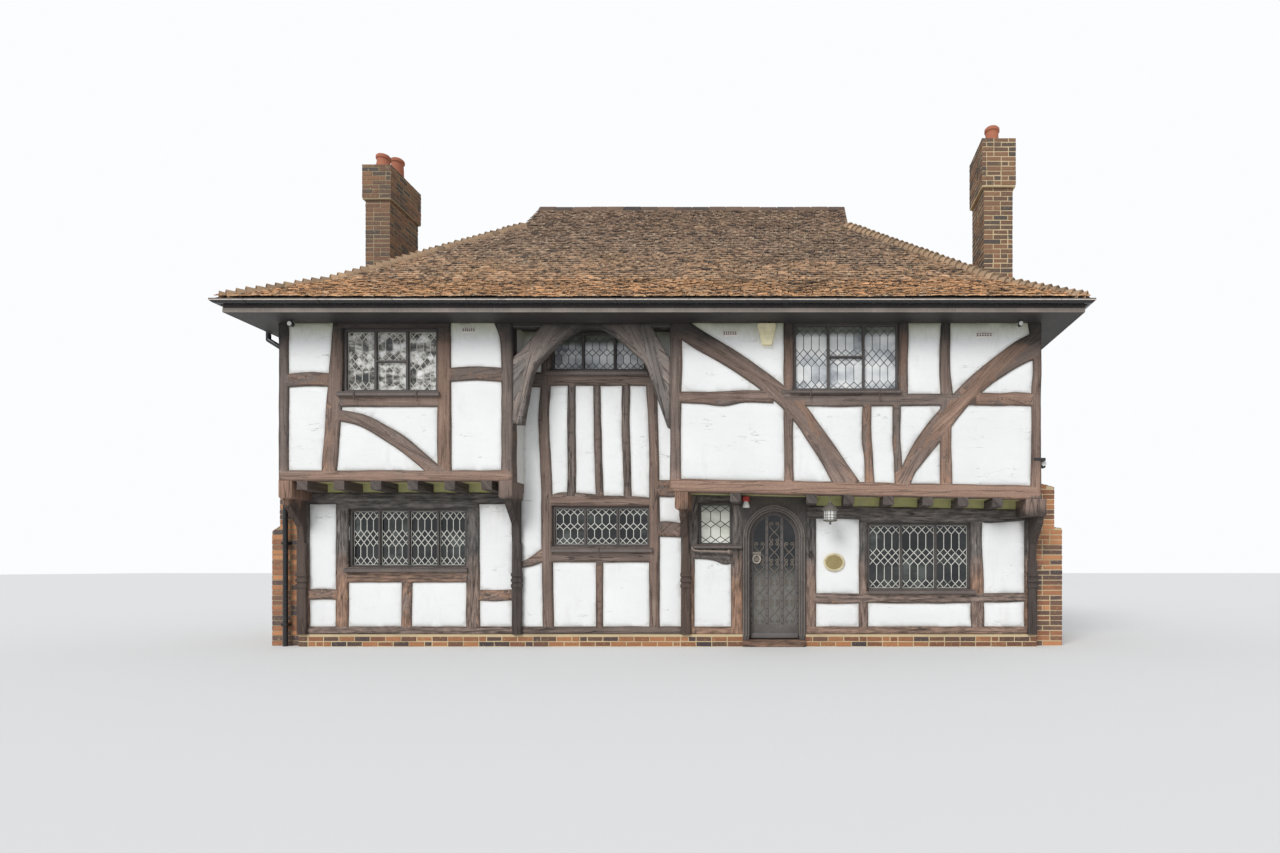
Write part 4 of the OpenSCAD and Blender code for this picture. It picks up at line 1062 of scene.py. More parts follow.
def lay_tile(heap, slope, roof, sides, reach, ends, tint, draw):
    """One cambered tile, its ragged tail lifted off the course below."""
    lift = roof.lift * draw.uniform(0.55, 1.0)
    tilt = draw.uniform(-0.003, 0.003)
    slip = draw.uniform(-0.004, 0.004)
    rings = []
    for (inward, height), (first, last), at_tail in zip(reach, ends, (True, False)):
        over, under = [], []
        for k in range(4):
            along = min(max(sides[0] + (sides[1] - sides[0]) * k / 3, first), last)
            where = slope.solid(along, inward, height)
            rise = roof.sway * (0.5 + noise.noise(where * 0.9)) + 0.003 * (k in (1, 2))
            ragged = 0.0
            thick = roof.thickness * 0.5
            if at_tail:
                rise += 0.007 + lift + tilt * (k - 1.5) / 1.5
                ragged = slip + draw.uniform(-0.003, 0.003)
                thick = roof.thickness
            foot = slope.solid(along, inward + ragged, height + rise + ragged * 0.8)
            under.append(foot)
            over.append(foot + UP * thick + slope.out * 0.003)
        rings.append(over + under[::-1])
    heap.loft(rings, tint)


def bonnet_arc(centre, side, half, crown, drop, steps=8):
    """An arc over a hip, from one slope over to the other."""
    arc = []
    for i in range(steps + 1):
        aside = half * (2 * i / steps - 1)
        arc.append(centre + side * aside + UP * (crown - drop * (abs(aside) / half) ** 1.7))
    return arc


def hood(centre, side, half, arc, over, under):
    """A ring round an arc over a hip, from a height over its centre to a height under that."""
    return (bonnet_arc(centre + UP * over, side, half, *arc)
            + bonnet_arc(centre + UP * under, side, half, *arc)[::-1])


def lay_bonnets(bonnets, bedding, roof, draw):
    """One bonnet over each hip at each course, its tail raised on mortar over the one below."""
    front, left = Slope("front_slope", FRONT), Slope("left_slope", LEFT)
    hip_run = left.run
    courses = int(np.interp(hip_run, front.profile[:, 1], front.profile[:, 0]) / roof.gauge)
    for sign_x in (-1, 1):
        for sign_y in (-1, 1):
            side = Vector((sign_x, -sign_y, 0)).normalized()

            def on_hip(up_slope):
                inward, height = front.at(up_slope)
                inward = min(inward, hip_run)
                return Vector((sign_x * (left.edge - inward), sign_y * (front.edge - inward), height))

            for course in range(courses + 1):
                foot = max(course * roof.gauge + draw.uniform(-0.012, 0.006), 0.028)
                tail, head = on_hip(foot), on_hip((course + 1.2) * roof.gauge)
                half = roof.bonnet * draw.uniform(0.95, 1.04)
                lift = draw.uniform(0.004, 0.014)
                if course == 0:
                    half *= 0.5
                bonnets.loft([hood(tail, side, half, TAIL_ARC, lift, lift - 0.015),
                              hood(head, side, half * 0.8, HEAD_ARC, 0.0, -0.012)],
                             odd_tint(draw, 0.5, 0.24))
                if course == 0:
                    continue
                inner = on_hip(foot + 0.01)
                bedding.loft([hood(inner, side, half * 0.96, BED_ARC, lift - 0.014, lift - 0.055),
                              hood(head, side, half * 0.78, HEAD_ARC, -0.014, -0.04)])


def lay_ridge(heap, bedding, roof, draw):
    """Low half-round ridge tiles, bedded end to end."""
    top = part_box("front_slope")[1].z
    low_end, high_end = Slope("front_slope", FRONT).width(top - 0.08)
    count = round((high_end - low_end) / roof.ridge_length)
    for i in range(count):
        start = low_end + (high_end - low_end) * i / count
        end = low_end + (high_end - low_end) * (i + 1) / count
        sag = 0.008 * noise.noise(Vector((start, 0, 0)))
        lift = draw.uniform(0.0, 0.007)
        rings = []
        for x, swell in ((start + 0.004, 0.0), (start + 0.02, 0.004),
                         (end - 0.02, 0.004), (end - 0.004, 0.0)):
            centre = Vector((x, 0, top + sag + lift))
            over = bonnet_arc(centre, BACK, 0.125 + swell, 0.042 + swell, 0.135)
            under = bonnet_arc(centre - UP * 0.02, BACK, 0.12 + swell, 0.042, 0.135)
            rings.append(over + under[::-1])
        heap.loft(rings, odd_tint(draw, 0.4, 0.2))
    bedding.loft([hood(Vector((x, 0, top)), BACK, 0.12, RIDGE_ARC, 0.034, 0.0) for x in (low_end, high_end)])


class HOUSE_OT_peg_tiles(bpy.types.Operator):
    """Tile the four slopes with hand made peg tiles"""

    bl_idname = "house.peg_tiles"
    bl_label = "Peg tiles"

    def execute(self, context):
        roof = trade("roof")
        clay = weathered_tiles("peg_tile_clay", roof)
        for node, out in SLOPES.items():
            heap = Heap()
            lay_tiles(heap, Slope(node, out), roof, random.Random(node))
            heap.piece(node.replace("slope", "peg_tiles"), clay, "clay_tiles", 20)
        dress(old_mortar("battens_and_torching", (0.1, 0.08, 0.065)), *SLOPES)
        return {"FINISHED"}


class HOUSE_OT_hips_and_ridge(bpy.types.Operator):
    """Cover the hips with bonnets and the ridge with half-round tiles, all bedded in mortar"""

    bl_idname = "house.hips_and_ridge"
    bl_label = "Hips and ridge"

    def execute(self, context):
        roof = trade("roof")
        tan = fired_clay("bonnet_clay", shades(roof.tan, 0.55, 1.0, 0.85, 1.35), (0.42, 0.36, 0.25), 0.3)
        bonnets, ridge, bedding = Heap(), Heap(), Heap()
        lay_bonnets(bonnets, bedding, roof, random.Random("bonnets"))
        lay_ridge(ridge, bedding, roof, random.Random("ridge"))
        bonnets.piece("hip_bonnets", tan, "clay_tiles", 50, replaces=["ridge_and_hips"])
        dull = fired_clay("ridge_clay", (roof.dark, shade(roof.clay, 0.6), shade(roof.clay, 0.8)),
                          (0.3, 0.27, 0.22), 0.35)
        ridge.piece("ridge_tiles", dull, "clay_tiles", 50)
        # Bedding mortar darkened to stand for the shade in the gaps between the bonnets
        bedding.piece("hip_bedding", old_mortar("bedding_mortar_and_gap_shade", roof.bedding), "clay_tiles", 50)
        return {"FINISHED"}


# Bricks

BRICKWORK = ("left_stack", "right_stack", "front_plinths", "back_plinth", "side_plinths")


def lay_bricks(heap, plane, loops, brick, draw):
    """Lays bricks over a plane, course by course, cut at its edges."""
    flat = [p for loop in loops for p in loop]
    low, high = min(p[1] for p in flat), max(p[1] for p in flat)
    upright = abs(plane.out.z) < 0.05
    first = math.floor(low / brick.course) if upright else 0
    base = 0.0 if upright else low
    for course in range(first, first + math.ceil((high - low) / brick.course) + 2):
        foot = max(base + course * brick.course + brick.joint / 2, low - 0.002)
        head = min(base + (course + 1) * brick.course - brick.joint / 2, high)
        if head - foot < 0.025:
            continue
        deep = 0.032 if low > 1.0 and foot < low + brick.course / 2 else 0.004
        for span in shared_spans(loops, foot + 0.004, head - 0.004):
            lay_course(heap, plane, span, (foot, head), course, deep, brick, draw)


def shared_spans(loops, low, high):
    """Stretches along a wall that are solid at two heights."""
    spans = []
    for v in (low, high):
        crossings = sorted(
            a[0] + (v - a[1]) * (b[0] - a[0]) / (b[1] - a[1])
            for loop in loops for a, b in around(loop) if (a[1] > v) != (b[1] > v))
        spans.append(list(zip(crossings[::2], crossings[1::2])))
    shared = []
    for a0, a1 in spans[0]:
        for b0, b1 in spans[1]:
            if min(a1, b1) - max(a0, b0) > 0.03:
                shared.append((max(a0, b0), min(a1, b1)))
    return shared


def lay_course(heap, plane, span, band, course, deep, brick, draw):
    """One course of bricks along a stretch, with a header now and then."""
    module = brick.length + brick.joint
    header = (brick.length - brick.joint) / 2
    least = 0.065
    u = math.floor(span[0] / module) * module - (module / 2 if course % 2 else 0.0)
    joints = [span[0]]
    while u < span[1]:
        u += (header if draw.random() < 0.22 else brick.length) + brick.joint
        if u - joints[-1] > least and span[1] - u > least:
            joints.append(u)
    joints.append(span[1])
    for left, right in zip(joints, joints[1:]):
        start = left + (brick.joint / 2 if left > span[0] else -brick.proud)
        end = right - (brick.joint / 2 if right < span[1] else -brick.proud)
        proud = brick.proud + draw.uniform(-0.003, 0.003)
        wear = draw.uniform(0.002, 0.006)
        corners = [(start, band[0]), (end, band[0]), (end, band[1]), (start, band[1])]
        corners = [(a + draw.uniform(-0.002, 0.002), b + draw.uniform(-0.002, 0.002)) for a, b in corners]
        middle = (0.5 * (start + end), 0.5 * (band[0] + band[1]))
        worn = [(a + math.copysign(wear, middle[0] - a), b + math.copysign(wear, middle[1] - b))
                for a, b in corners]
        sink = [draw.uniform(0.0, 0.002) for _ in corners]
        heap.loft([
            [plane.solid(p, deep) for p in corners],
            [plane.solid(p, -proud + wear * 0.7 + s) for p, s in zip(corners, sink)],
            [plane.solid(p, -proud + s) for p, s in zip(worn, sink)]], draw.random())


class HOUSE_OT_bricks(bpy.types.Operator):
    """Lay the bricks of the stacks, fireplace backs and plinths in lime mortar"""

    bl_idname = "house.bricks"
    bl_label = "Bricks"

    def execute(self, context):
        brick = trade("brick")
        tones = (brick.plum, brick.brown, brick.red, brick.orange, shade(brick.orange, 1.2))
        weathering = {"left_stack": (0.6, 0.7), "right_stack": (0.65, 0.5)}
        for node in BRICKWORK:
            smoke, lichen = weathering.get(node, (0.0, 0.5))
            damp = 1.0 if node in weathering else 0.72
            clay = fired_clay(node + "_clay", [shade(tone, damp) for tone in tones], (0.5, 0.4, 0.2),
                              lichen, 0.004, smoke)
            heap = Heap()
            draw = random.Random(node)
            for is_top, least_area, level in ((False, 0.02, 0.95), (True, 0.15, 1.01)):
                for plane, loops in planes_of(node, least_area, level):
                    if plane.out.z > 0.95 and plane.offset < 4 if is_top else plane.out.z > -0.1:
                        lay_bricks(heap, plane, loops, brick, draw)
            heap.piece(node + "_bricks", clay, "brick", 20)
        dress(old_mortar("lime_mortar", brick.mortar), *BRICKWORK[1:])
        dress(old_mortar("sooty_mortar", shade(brick.mortar, 0.55)), BRICKWORK[0])
        pots = fired_clay("pot_clay", ((0.42, 0.15, 0.085), (0.6, 0.235, 0.13), (0.7, 0.3, 0.17)),
                          (0.38, 0.26, 0.2), 0.2)
        dress(pots, "chimney_pots")
        return {"FINISHED"}


# Leaded lights

GLASS_DEPTH = 0.05


def lead_bands(height, rise):
    """Bands of a light from its foot up: how many rows of diamonds, or 0 for upright cames, and heights."""
    rows = [1, 0, 1] if height < 0.48 else [1, 0, 1, 0, 1] if height < 0.7 else [1, 0, 2, 0, 1]
    upright = (height - sum(rows) * 2 * rise) / rows.count(0)
    return [(count, 2 * rise * count if count else upright) for count in rows]


def lead_lines(u0, u1, v0, v1, columns, rise):
    """Lines of lead of one light: upright cames between rows of diamonds."""
    pitch = (u1 - u0) / columns
    lines = []
    v = v0
    for count, height in lead_bands(v1 - v0, rise):
        if count == 0:
            for i in range(1, columns):
                lines.append(((u0 + i * pitch, v), (u0 + i * pitch, v + height)))
        for row in range(2 * count):
            low, high = v + row * rise, v + (row + 1) * rise
            a, b = (low, high) if row % 2 == 0 else (high, low)
            for i in range(columns):
                left, middle, right = u0 + i * pitch, u0 + (i + 0.5) * pitch, u0 + (i + 1) * pitch
                lines += [((left, a), (middle, b)), ((middle, b), (right, a))]
        v += height
    return lines


def quarry_shapes(u0, u1, v0, v1, columns, rise):
    """Outlines of the panes: diamonds in line with the upright cames, hexagons or diamonds between them."""
    pitch = (u1 - u0) / columns
    tips, shapes = [], []
    v = v0
    for count, height in lead_bands(v1 - v0, rise):
        for row in range(count):
            foot = v + 2 * rise * row
            tips.append(foot + rise)
            for i in range(columns + 1):
                u = u0 + i * pitch
                left, right = max(u - pitch / 2, u0), min(u + pitch / 2, u1)
                shapes.append([(u, foot), (right, foot + rise), (u, foot + 2 * rise), (left, foot + rise)])
        v += height
    for i in range(columns):
        left, right = u0 + i * pitch, u0 + (i + 1) * pitch
        middle = 0.5 * (left + right)
        for foot, head in zip([v0 - rise] + tips, tips + [v1 + rise]):
            outline = [(middle, foot), (right, foot + rise), (right, head - rise), (middle, head),
                       (left, head - rise), (left, foot + rise)]
            shapes.append(list(dict.fromkeys((round(u, 5), round(min(max(w, v0), v1), 5))
                                             for u, w in outline)))
    return shapes


def lay_came(heap, plane, line, width, proud, behind, depth=GLASS_DEPTH):
    """A lead came along a line, proud of the glass in front and behind it."""
    (u0, v0), (u1, v1) = line
    length = math.dist(*line)
    side = Vector((-(v1 - v0) / length, (u1 - u0) / length)) * width / 2
    section = ((-1.0, 0.0), (-0.55, -proud), (0.55, -proud), (1.0, 0.0), (1.0, behind), (-1.0, behind))
    heap.loft([[plane.solid((u + side.x * s, v + side.y * s), depth + d) for s, d in section]
               for u, v in line])


def lay_quarries(heap, plane, shapes, draw, depth=GLASS_DEPTH, thick=0.004, tilt=0.016):
    """The panes between the cames, each leaning a little its own way."""
    for shape in shapes:
        middle = np.mean(shape, axis=0)
        lean = draw.gauss(0, tilt), draw.gauss(0, tilt)
        sinks = [depth + (u - middle[0]) * lean[0] + (v - middle[1]) * lean[1] for u, v in shape]
        heap.loft([[plane.solid(p, sink + back) for p, sink in zip(shape, sinks)] for back in (thick, 0.0)],
                  odd_tint(draw, 0.5, 0.25))


def lights_of(node):
    """Each light of a window node: the plane of the frame's outer face and the outline of the opening."""
    return [(plane, loop[::-1]) for plane, loops in planes_of(node, 0.05, 0.5) if plane.offset > 2.5
            for loop in loops if signed_area(loop) < -0.01]


class HOUSE_OT_leaded_lights(bpy.types.Operator):
    """Glaze the windows with small quarries in lead"""

    bl_idname = "house.leaded_lights"
    bl_label = "Leaded lights"

    def execute(self, context):
        window = trade("window")
        dull = cast_metal("dull_lead", window.dull_lead, 0.6, 0.3)
        # Painted shadow of the eaves across the tops of the upper lights
        painted_eaves_shadow = (4.43, 4.51, (0.075, 0.085, 0.05), 0.85)
        trades = {
            "upper": (dull, old_glass("painted_sky_glass", window.painted_sky_tones, 0.14, painted_eaves_shadow), window.came),
            "left": (cast_metal("grey_lead", shade(window.lead, 0.9), 0.6, 0.1),
                     old_glass("leafy_glass", window.leafy, 0.12, painted_eaves_shadow, 6.5), window.came),
            "lower": (cast_metal("oxidised_lead", window.lead, 0.7, 0.1),
                      old_glass("deep_glass", window.deep, 0.09), window.came * 1.2),
            # The side light: curtains behind the glass, with painted shade under its head
            "side": (dull, old_glass("curtained_glass", window.curtain, 0.14,
                                     (1.96, 2.05, (0.16, 0.17, 0.12), 0.7)), window.came * 1.2)}
        laid = {kind: (Heap(), Heap(), random.Random(kind)) for kind in trades}
        for storey in ("upper", "lower"):
            for plane, loop in lights_of(storey + "_windows"):
                (u0, v0), (u1, v1) = np.min(loop, axis=0).tolist(), np.max(loop, axis=0).tolist()
                middle = plane.solid((0.5 * (u0 + u1), 0.5 * (v0 + v1)))
                by_door = storey == "lower" and middle.y < -2.5 and 0.4 < middle.x < 1.1
                in_left_bay = storey == "upper" and middle.y < -3.0 and middle.x < -3.0
                kind = "side" if by_door else "left" if in_left_bay else storey
                cames, quarries, draw = laid[kind]
                columns = 3 if by_door else window.columns
                rise = window.rise * (1.0 if v1 - v0 > 0.7 else 0.82)
                lay_quarries(quarries, plane, quarry_shapes(u0, u1, v0, v1, columns, rise), draw)
                border = list(around(loop))
                for line in lead_lines(u0, u1, v0, v1, columns, rise) + border:
                    lay_came(cames, plane, line, trades[kind][2], window.proud, 0.007)
        for kind, (cames, quarries, _) in laid.items():
            cames.piece(kind + "_cames", trades[kind][0], "window_glass", 50)
            quarries.piece(kind + "_quarries", trades[kind][1], "window_glass", 10,
                           replaces=[kind + "_glass"] if kind in ("upper", "lower") else [])
        return {"FINISHED"}

# Window frames: each sill's ends, foot and top in metres, and the face of its wall

SILLS = {
    "left_upper": (-4.536, -3.094, 3.57, 3.638, JETTY_FACE),
    "right_upper": (1.832, 3.404, 3.61, 3.66, JETTY_FACE),
    "hall_upper": (-1.748, -0.243, 3.981, 4.052, WALL_FACE),
    "hall_lower": (-1.671, -0.176, 1.384, 1.452, WALL_FACE),
    "door_side": (0.396, 1.139, 1.437, 1.5, WALL_FACE),
    "right_lower": (2.99, 4.556, 0.774, 0.841, WALL_FACE),
    "left_lower": (-4.7, -2.89, 1.092, 1.16, WALL_FACE),
}
STAYS = ((2.125, 3.66, JETTY_FACE), (3.094, 3.66, JETTY_FACE), (-0.96, 1.45, WALL_FACE),
         (-4.28, 3.64, JETTY_FACE), (-3.4, 3.64, JETTY_FACE))
HAND_RAIL = ((0.405, 1.462), (0.41, 1.435), (0.44, 1.412), (0.52, 1.403), (0.72, 1.398), (0.92, 1.392))
HAND_RAIL_Y = -2.935


class HOUSE_OT_windows(bpy.types.Operator):
    """Paint the window frames and put their sills and stays under them"""

    bl_idname = "house.windows"
    bl_label = "Window frames"

    def execute(self, context):
        oak = trade("timber")
        paint = worn_paint("window_paint", shade(oak.painted, 1.2), shade(oak.upper, 1.1), 0.4)
        for node in ("upper_windows", "lower_windows"):
            worn_copy("moulded_" + node, node, paint, 0.006)
        sills = Heap()
        for x0, x1, z0, z1, face in SILLS.values():
            sills.box((x0, -face - 0.046, z0), (x1, -face + 0.05, z1 - 0.016), 0.008)
            sills.box((x0 + 0.01, -face - 0.034, z1 - 0.018), (x1 - 0.01, -face + 0.05, z1), 0.006)
        sill_paint = worn_paint("sill_paint", (0.125, 0.1, 0.088), oak.bare, 0.5)
        sills.piece("window_sills", sill_paint, "dark_oak", 40)
        stays, hand_rail = Heap(), Heap()
        rusty = cast_metal("stay_iron", (0.13, 0.1, 0.085), 0.6, 0.2)
        rubbed = cast_metal("rail_iron", (0.25, 0.195, 0.165), 0.55, 0.2)
        for x, z, face in STAYS:
            stays.sweep([Vector((x, -face - proud, z + rise)) for proud, rise in
                         ((0.05, 0.02), (0.058, -0.06), (0.03, -0.15))], circle(8, 0.007))
        stays.turn([(0.01, 0.0), (0.01, 0.06)], (0.7, -2.885, 1.4), "Y")
        hand_rail.sweep([Vector((x, HAND_RAIL_Y, z)) for x, z in HAND_RAIL], circle(12, 0.017))
        hand_rail.turn([(0.012, -0.035), (0.03, -0.02), (0.036, 0.0), (0.03, 0.02), (0.012, 0.035)],
                       (0.945, HAND_RAIL_Y, 1.39), "X")
        hand_rail.piece("hand_rail", rubbed, "black_iron", 50)
        stays.piece("casement_stays", rusty, "black_iron", 50)
        return {"FINISHED"}


# Painted joinery: the door's middle, half width, spring and rise, and the face of its leaf

DOOR_X, DOOR_HALF, SPRING, DOOR_RISE, LEAF_FRONT = 1.602, 0.368, 1.6, 0.395, -2.758
RIB, STILE, LIGHT = 0.112, 0.34, 0.222
DOOR_FOOT = 0.16
# How far each bead of the arch lies outside the opening, and its depth
ARCH_BEADS = ((0.075, -2.911), (0.04, -2.911), (0.003, -2.882))
# Each fascia's side, its distance out and half its length
FASCIAS = ((FRONT, 3.73, 5.809), (BACK, 3.73, 5.809), (LEFT, 5.805, 3.734), (RIGHT, 5.805, 3.734))
FASCIA_Z = 4.612
RING_X, RING_Z, RING_RADIUS = 1.34, 1.285, 0.056
RING_NAILS = ((1.29, 1.382), (1.34, 1.386), (1.39, 1.382), (1.29, 1.268), (1.39, 1.268), (1.315, 1.365),
              (1.365, 1.365))


def arch_path(grow, foot, y, steps=16):
    """Points round the door opening, a way outside it: up one side, over the pointed head and down."""
    radius = (DOOR_RISE ** 2 + DOOR_HALF ** 2) / (2 * DOOR_HALF)
    shift = radius - DOOR_HALF
    top = math.acos(shift / (radius + grow))
    right = [(DOOR_X + DOOR_HALF + grow, foot + (SPRING - foot) * i / 6) for i in range(6)]
    right += [(DOOR_X - shift + (radius + grow) * math.cos(top * i / steps),
               SPRING + (radius + grow) * math.sin(top * i / steps)) for i in range(steps + 1)]
    left = [(2 * DOOR_X - x, z) for x, z in reversed(right[:-1])]
    return [Vector((x, y, z)) for x, z in right + left]


def scroll(centre, mirror, reach=0.12, aside=0.042, radius=0.029):
    """A wrought S with a curl at each end, over the middle of a light."""
    half = []
    for i in range(15):
        angle = math.radians(-250 + 430 * i / 14)
        curl = radius * (0.22 + 0.78 * i / 14)
        half.append((-aside + curl * math.cos(angle), reach + curl * math.sin(angle)))
    half += [(-0.064, 0.07), (-0.03, 0.028)]
    path = half + [(0.0, 0.0)] + [(-u, -v) for u, v in reversed(half)]
    return [centre + Vector((mirror * u, 0, v)) for u, v in path]


class HOUSE_OT_joinery(bpy.types.Operator):
    """Paint the eaves boards, door frame and door, and bead their edges"""

    bl_idname = "house.joinery"
    bl_label = "Joinery"

    def execute(self, context):
        oak = trade("timber")
        # Darker than the black paint of the other joinery: black paint with painted shade under the eaves
        dress(worn_paint("eaves_paint_with_painted_shade", shade(oak.painted, 0.6), shade(oak.bare, 0.38), 0.45),
              "long_eaves", "end_eaves")
        frame_paint = worn_paint("door_frame_paint", shade(oak.painted, 1.45), (0.24, 0.185, 0.15), 0.8)
        for node in ("door_jambs", "door_head"):
            worn_copy("worn_" + node, node, frame_paint, 0.006)
        leaf_paint = worn_paint("door_paint", shade(oak.painted, 1.9), (0.27, 0.205, 0.165), 0.9)
        worn_copy("worn_front_door", "front_door", leaf_paint, 0.005, DOOR)
        # Dark door glass that turns lighter from 1.2 m down to 0.95 m: a painted reflection low in the lights
        dress(old_glass("door_glass_tone", [shade(tone, 1.2) for tone in trade("window").deep], 0.12,
                        (1.2, 0.95, (0.165, 0.158, 0.14), 0.85)), "door_glass")
        self.bead_edges(oak)
        self.fit_door(oak)
        return {"FINISHED"}

    def bead_edges(self, oak):
        """Beads along the door's arch and a strip along the lower edge of the fascia boards, in pale rubbed
        paint: partly wear, partly a painted highlight along the arch and painted light on the fascia's lower
        edge.
        """
        beads = Heap()
        for grow, y in ARCH_BEADS:
            beads.sweep(arch_path(grow, DOOR_FOOT, y), circle(6, 0.0055))
        # A pale strip on the fascia's lower edge: partly worn paint, partly painted light where the gutter's
        # shadow ends
        strip = [(-0.005, -0.01), (0.005, -0.01), (0.005, 0.046), (-0.005, 0.046)]
        for out, edge, reach in FASCIAS:
            ends = [out * edge + UP.cross(out) * (reach * s) + UP * FASCIA_Z for s in (-1, 1)]
            beads.sweep(ends, strip, UP)
        rubbed = worn_paint("rubbed_edge_and_highlight", shade(oak.bare, 0.5), oak.bare, 0.7)
        beads.piece("rubbed_beads", rubbed, "dark_oak", 50)

    def fit_door(self, oak):
        """Studs, ring, scrolls over the glass and the weatherboard, which swing with the door."""
        studs, scrolls, board, ring = Heap(), Heap(), Heap(), Heap()
        path = [Vector((RING_X + u, LEAF_FRONT - 0.017, RING_Z + v)) for u, v in circle(32, RING_RADIUS)]
        ring.sweep(path + path[:1], circle(8, 0.0095))
        for x, z in RING_NAILS:
            ring.turn([(0.008, 0.0), (0.007, 0.003), (0.003, 0.005)], (x, LEAF_FRONT - 0.006, z), "Y", 10)
        for i in range(14):
            z = 0.33 + 0.113 * i
            for aside in (-RIB, RIB, -STILE, STILE):
                if abs(aside) < STILE or z < SPRING + 0.02:
                    studs.turn([(0.01, 0.0), (0.009, 0.003), (0.004, 0.006)],
                               (DOOR_X + aside, LEAF_FRONT + 0.001, z), "Y", 10)
        for aside, levels in ((-LIGHT, 4), (0.0, 5), (LIGHT, 4)):
            for level in range(levels):
                centre = Vector((DOOR_X + aside, LEAF_FRONT + 0.013, 0.49 + 0.3 * level))
                for mirror in (-1, 1):
                    scrolls.sweep(scroll(centre, mirror), circle(6, 0.0065))
        board.loft([[Vector((x, LEAF_FRONT + y, z)) for y, z in
                     ((0.004, 0.118), (-0.034, 0.118), (-0.036, 0.134), (-0.01, 0.19), (0.004, 0.196))]
                    for x in (DOOR_X - 0.35, DOOR_X + 0.35)])
        for heap, name, material in (
                (studs, "door_studs", cast_metal("stud_iron", (0.05, 0.045, 0.042), 0.5, 0.5)),
                (scrolls, "door_scrolls", cast_metal("rubbed_iron", (0.21, 0.175, 0.145), 0.55, 0.2)),
                (ring, "rubbed_ring", cast_metal("rubbed_ring_iron", (0.5, 0.455, 0.39), 0.5, 0.2))):
            heap.piece(name, material, "black_iron", 50, DOOR)
        weathered = worn_paint("weatherboard_paint", shade(oak.painted, 1.7), shade(oak.bare, 0.6), 0.6)
        board.piece("door_weatherboard", weathered, "dark_oak", body=DOOR)


# Rainwater goods and fittings

GUTTER_Z, GUTTER_R, GUTTER_Y, GUTTER_X = 4.755, 0.055, 3.785, 5.86
# Each gutter's side, its distance out, half the length that has clips, its unions and where it ends
GUTTERS = [(out, GUTTER_Y, 5.45, (-2.0, 1.77), GUTTER_X) for out in (FRONT, BACK)]
GUTTERS += [(out, GUTTER_X, 3.35, (0.4,), GUTTER_Y) for out in (LEFT, RIGHT)]
VENTS = ((0.892, 1.081, 4.436, 4.5), (4.463, 4.683, 4.417, 4.473), (-2.785, -2.61, 4.484, 4.54))
SPOTS = (5.036, -5.1)
PLATE_X, PLATE_Z = 2.483, 1.239
BELL_PULL = Vector((2.14, -2.884, 1.39))
LANTERN_FOOT = Vector((2.404, -3.24, 1.77))


def clip(heap, centre, out, wide, thick):
    """A clip round the lower half of a gutter."""
    along = UP.cross(out)
    rings = []
    for k in range(11):
        angle = math.pi + math.pi * k / 10
        ray = out * math.cos(angle) + UP * math.sin(angle)
        rings.append([centre + ray * r + along * a for r, a in (
            (GUTTER_R - 0.002, -wide / 2), (GUTTER_R + thick, -wide / 2),
            (GUTTER_R + thick, wide / 2), (GUTTER_R - 0.002, wide / 2))])
    heap.loft(rings)


def oval(half_width, y):
    """An upright oval ring about the middle of the plate by the door."""
    return [Vector((PLATE_X + half_width * u, y, PLATE_Z + (half_width - 0.021) * v))
            for u, v in circle(40, 1.0)]


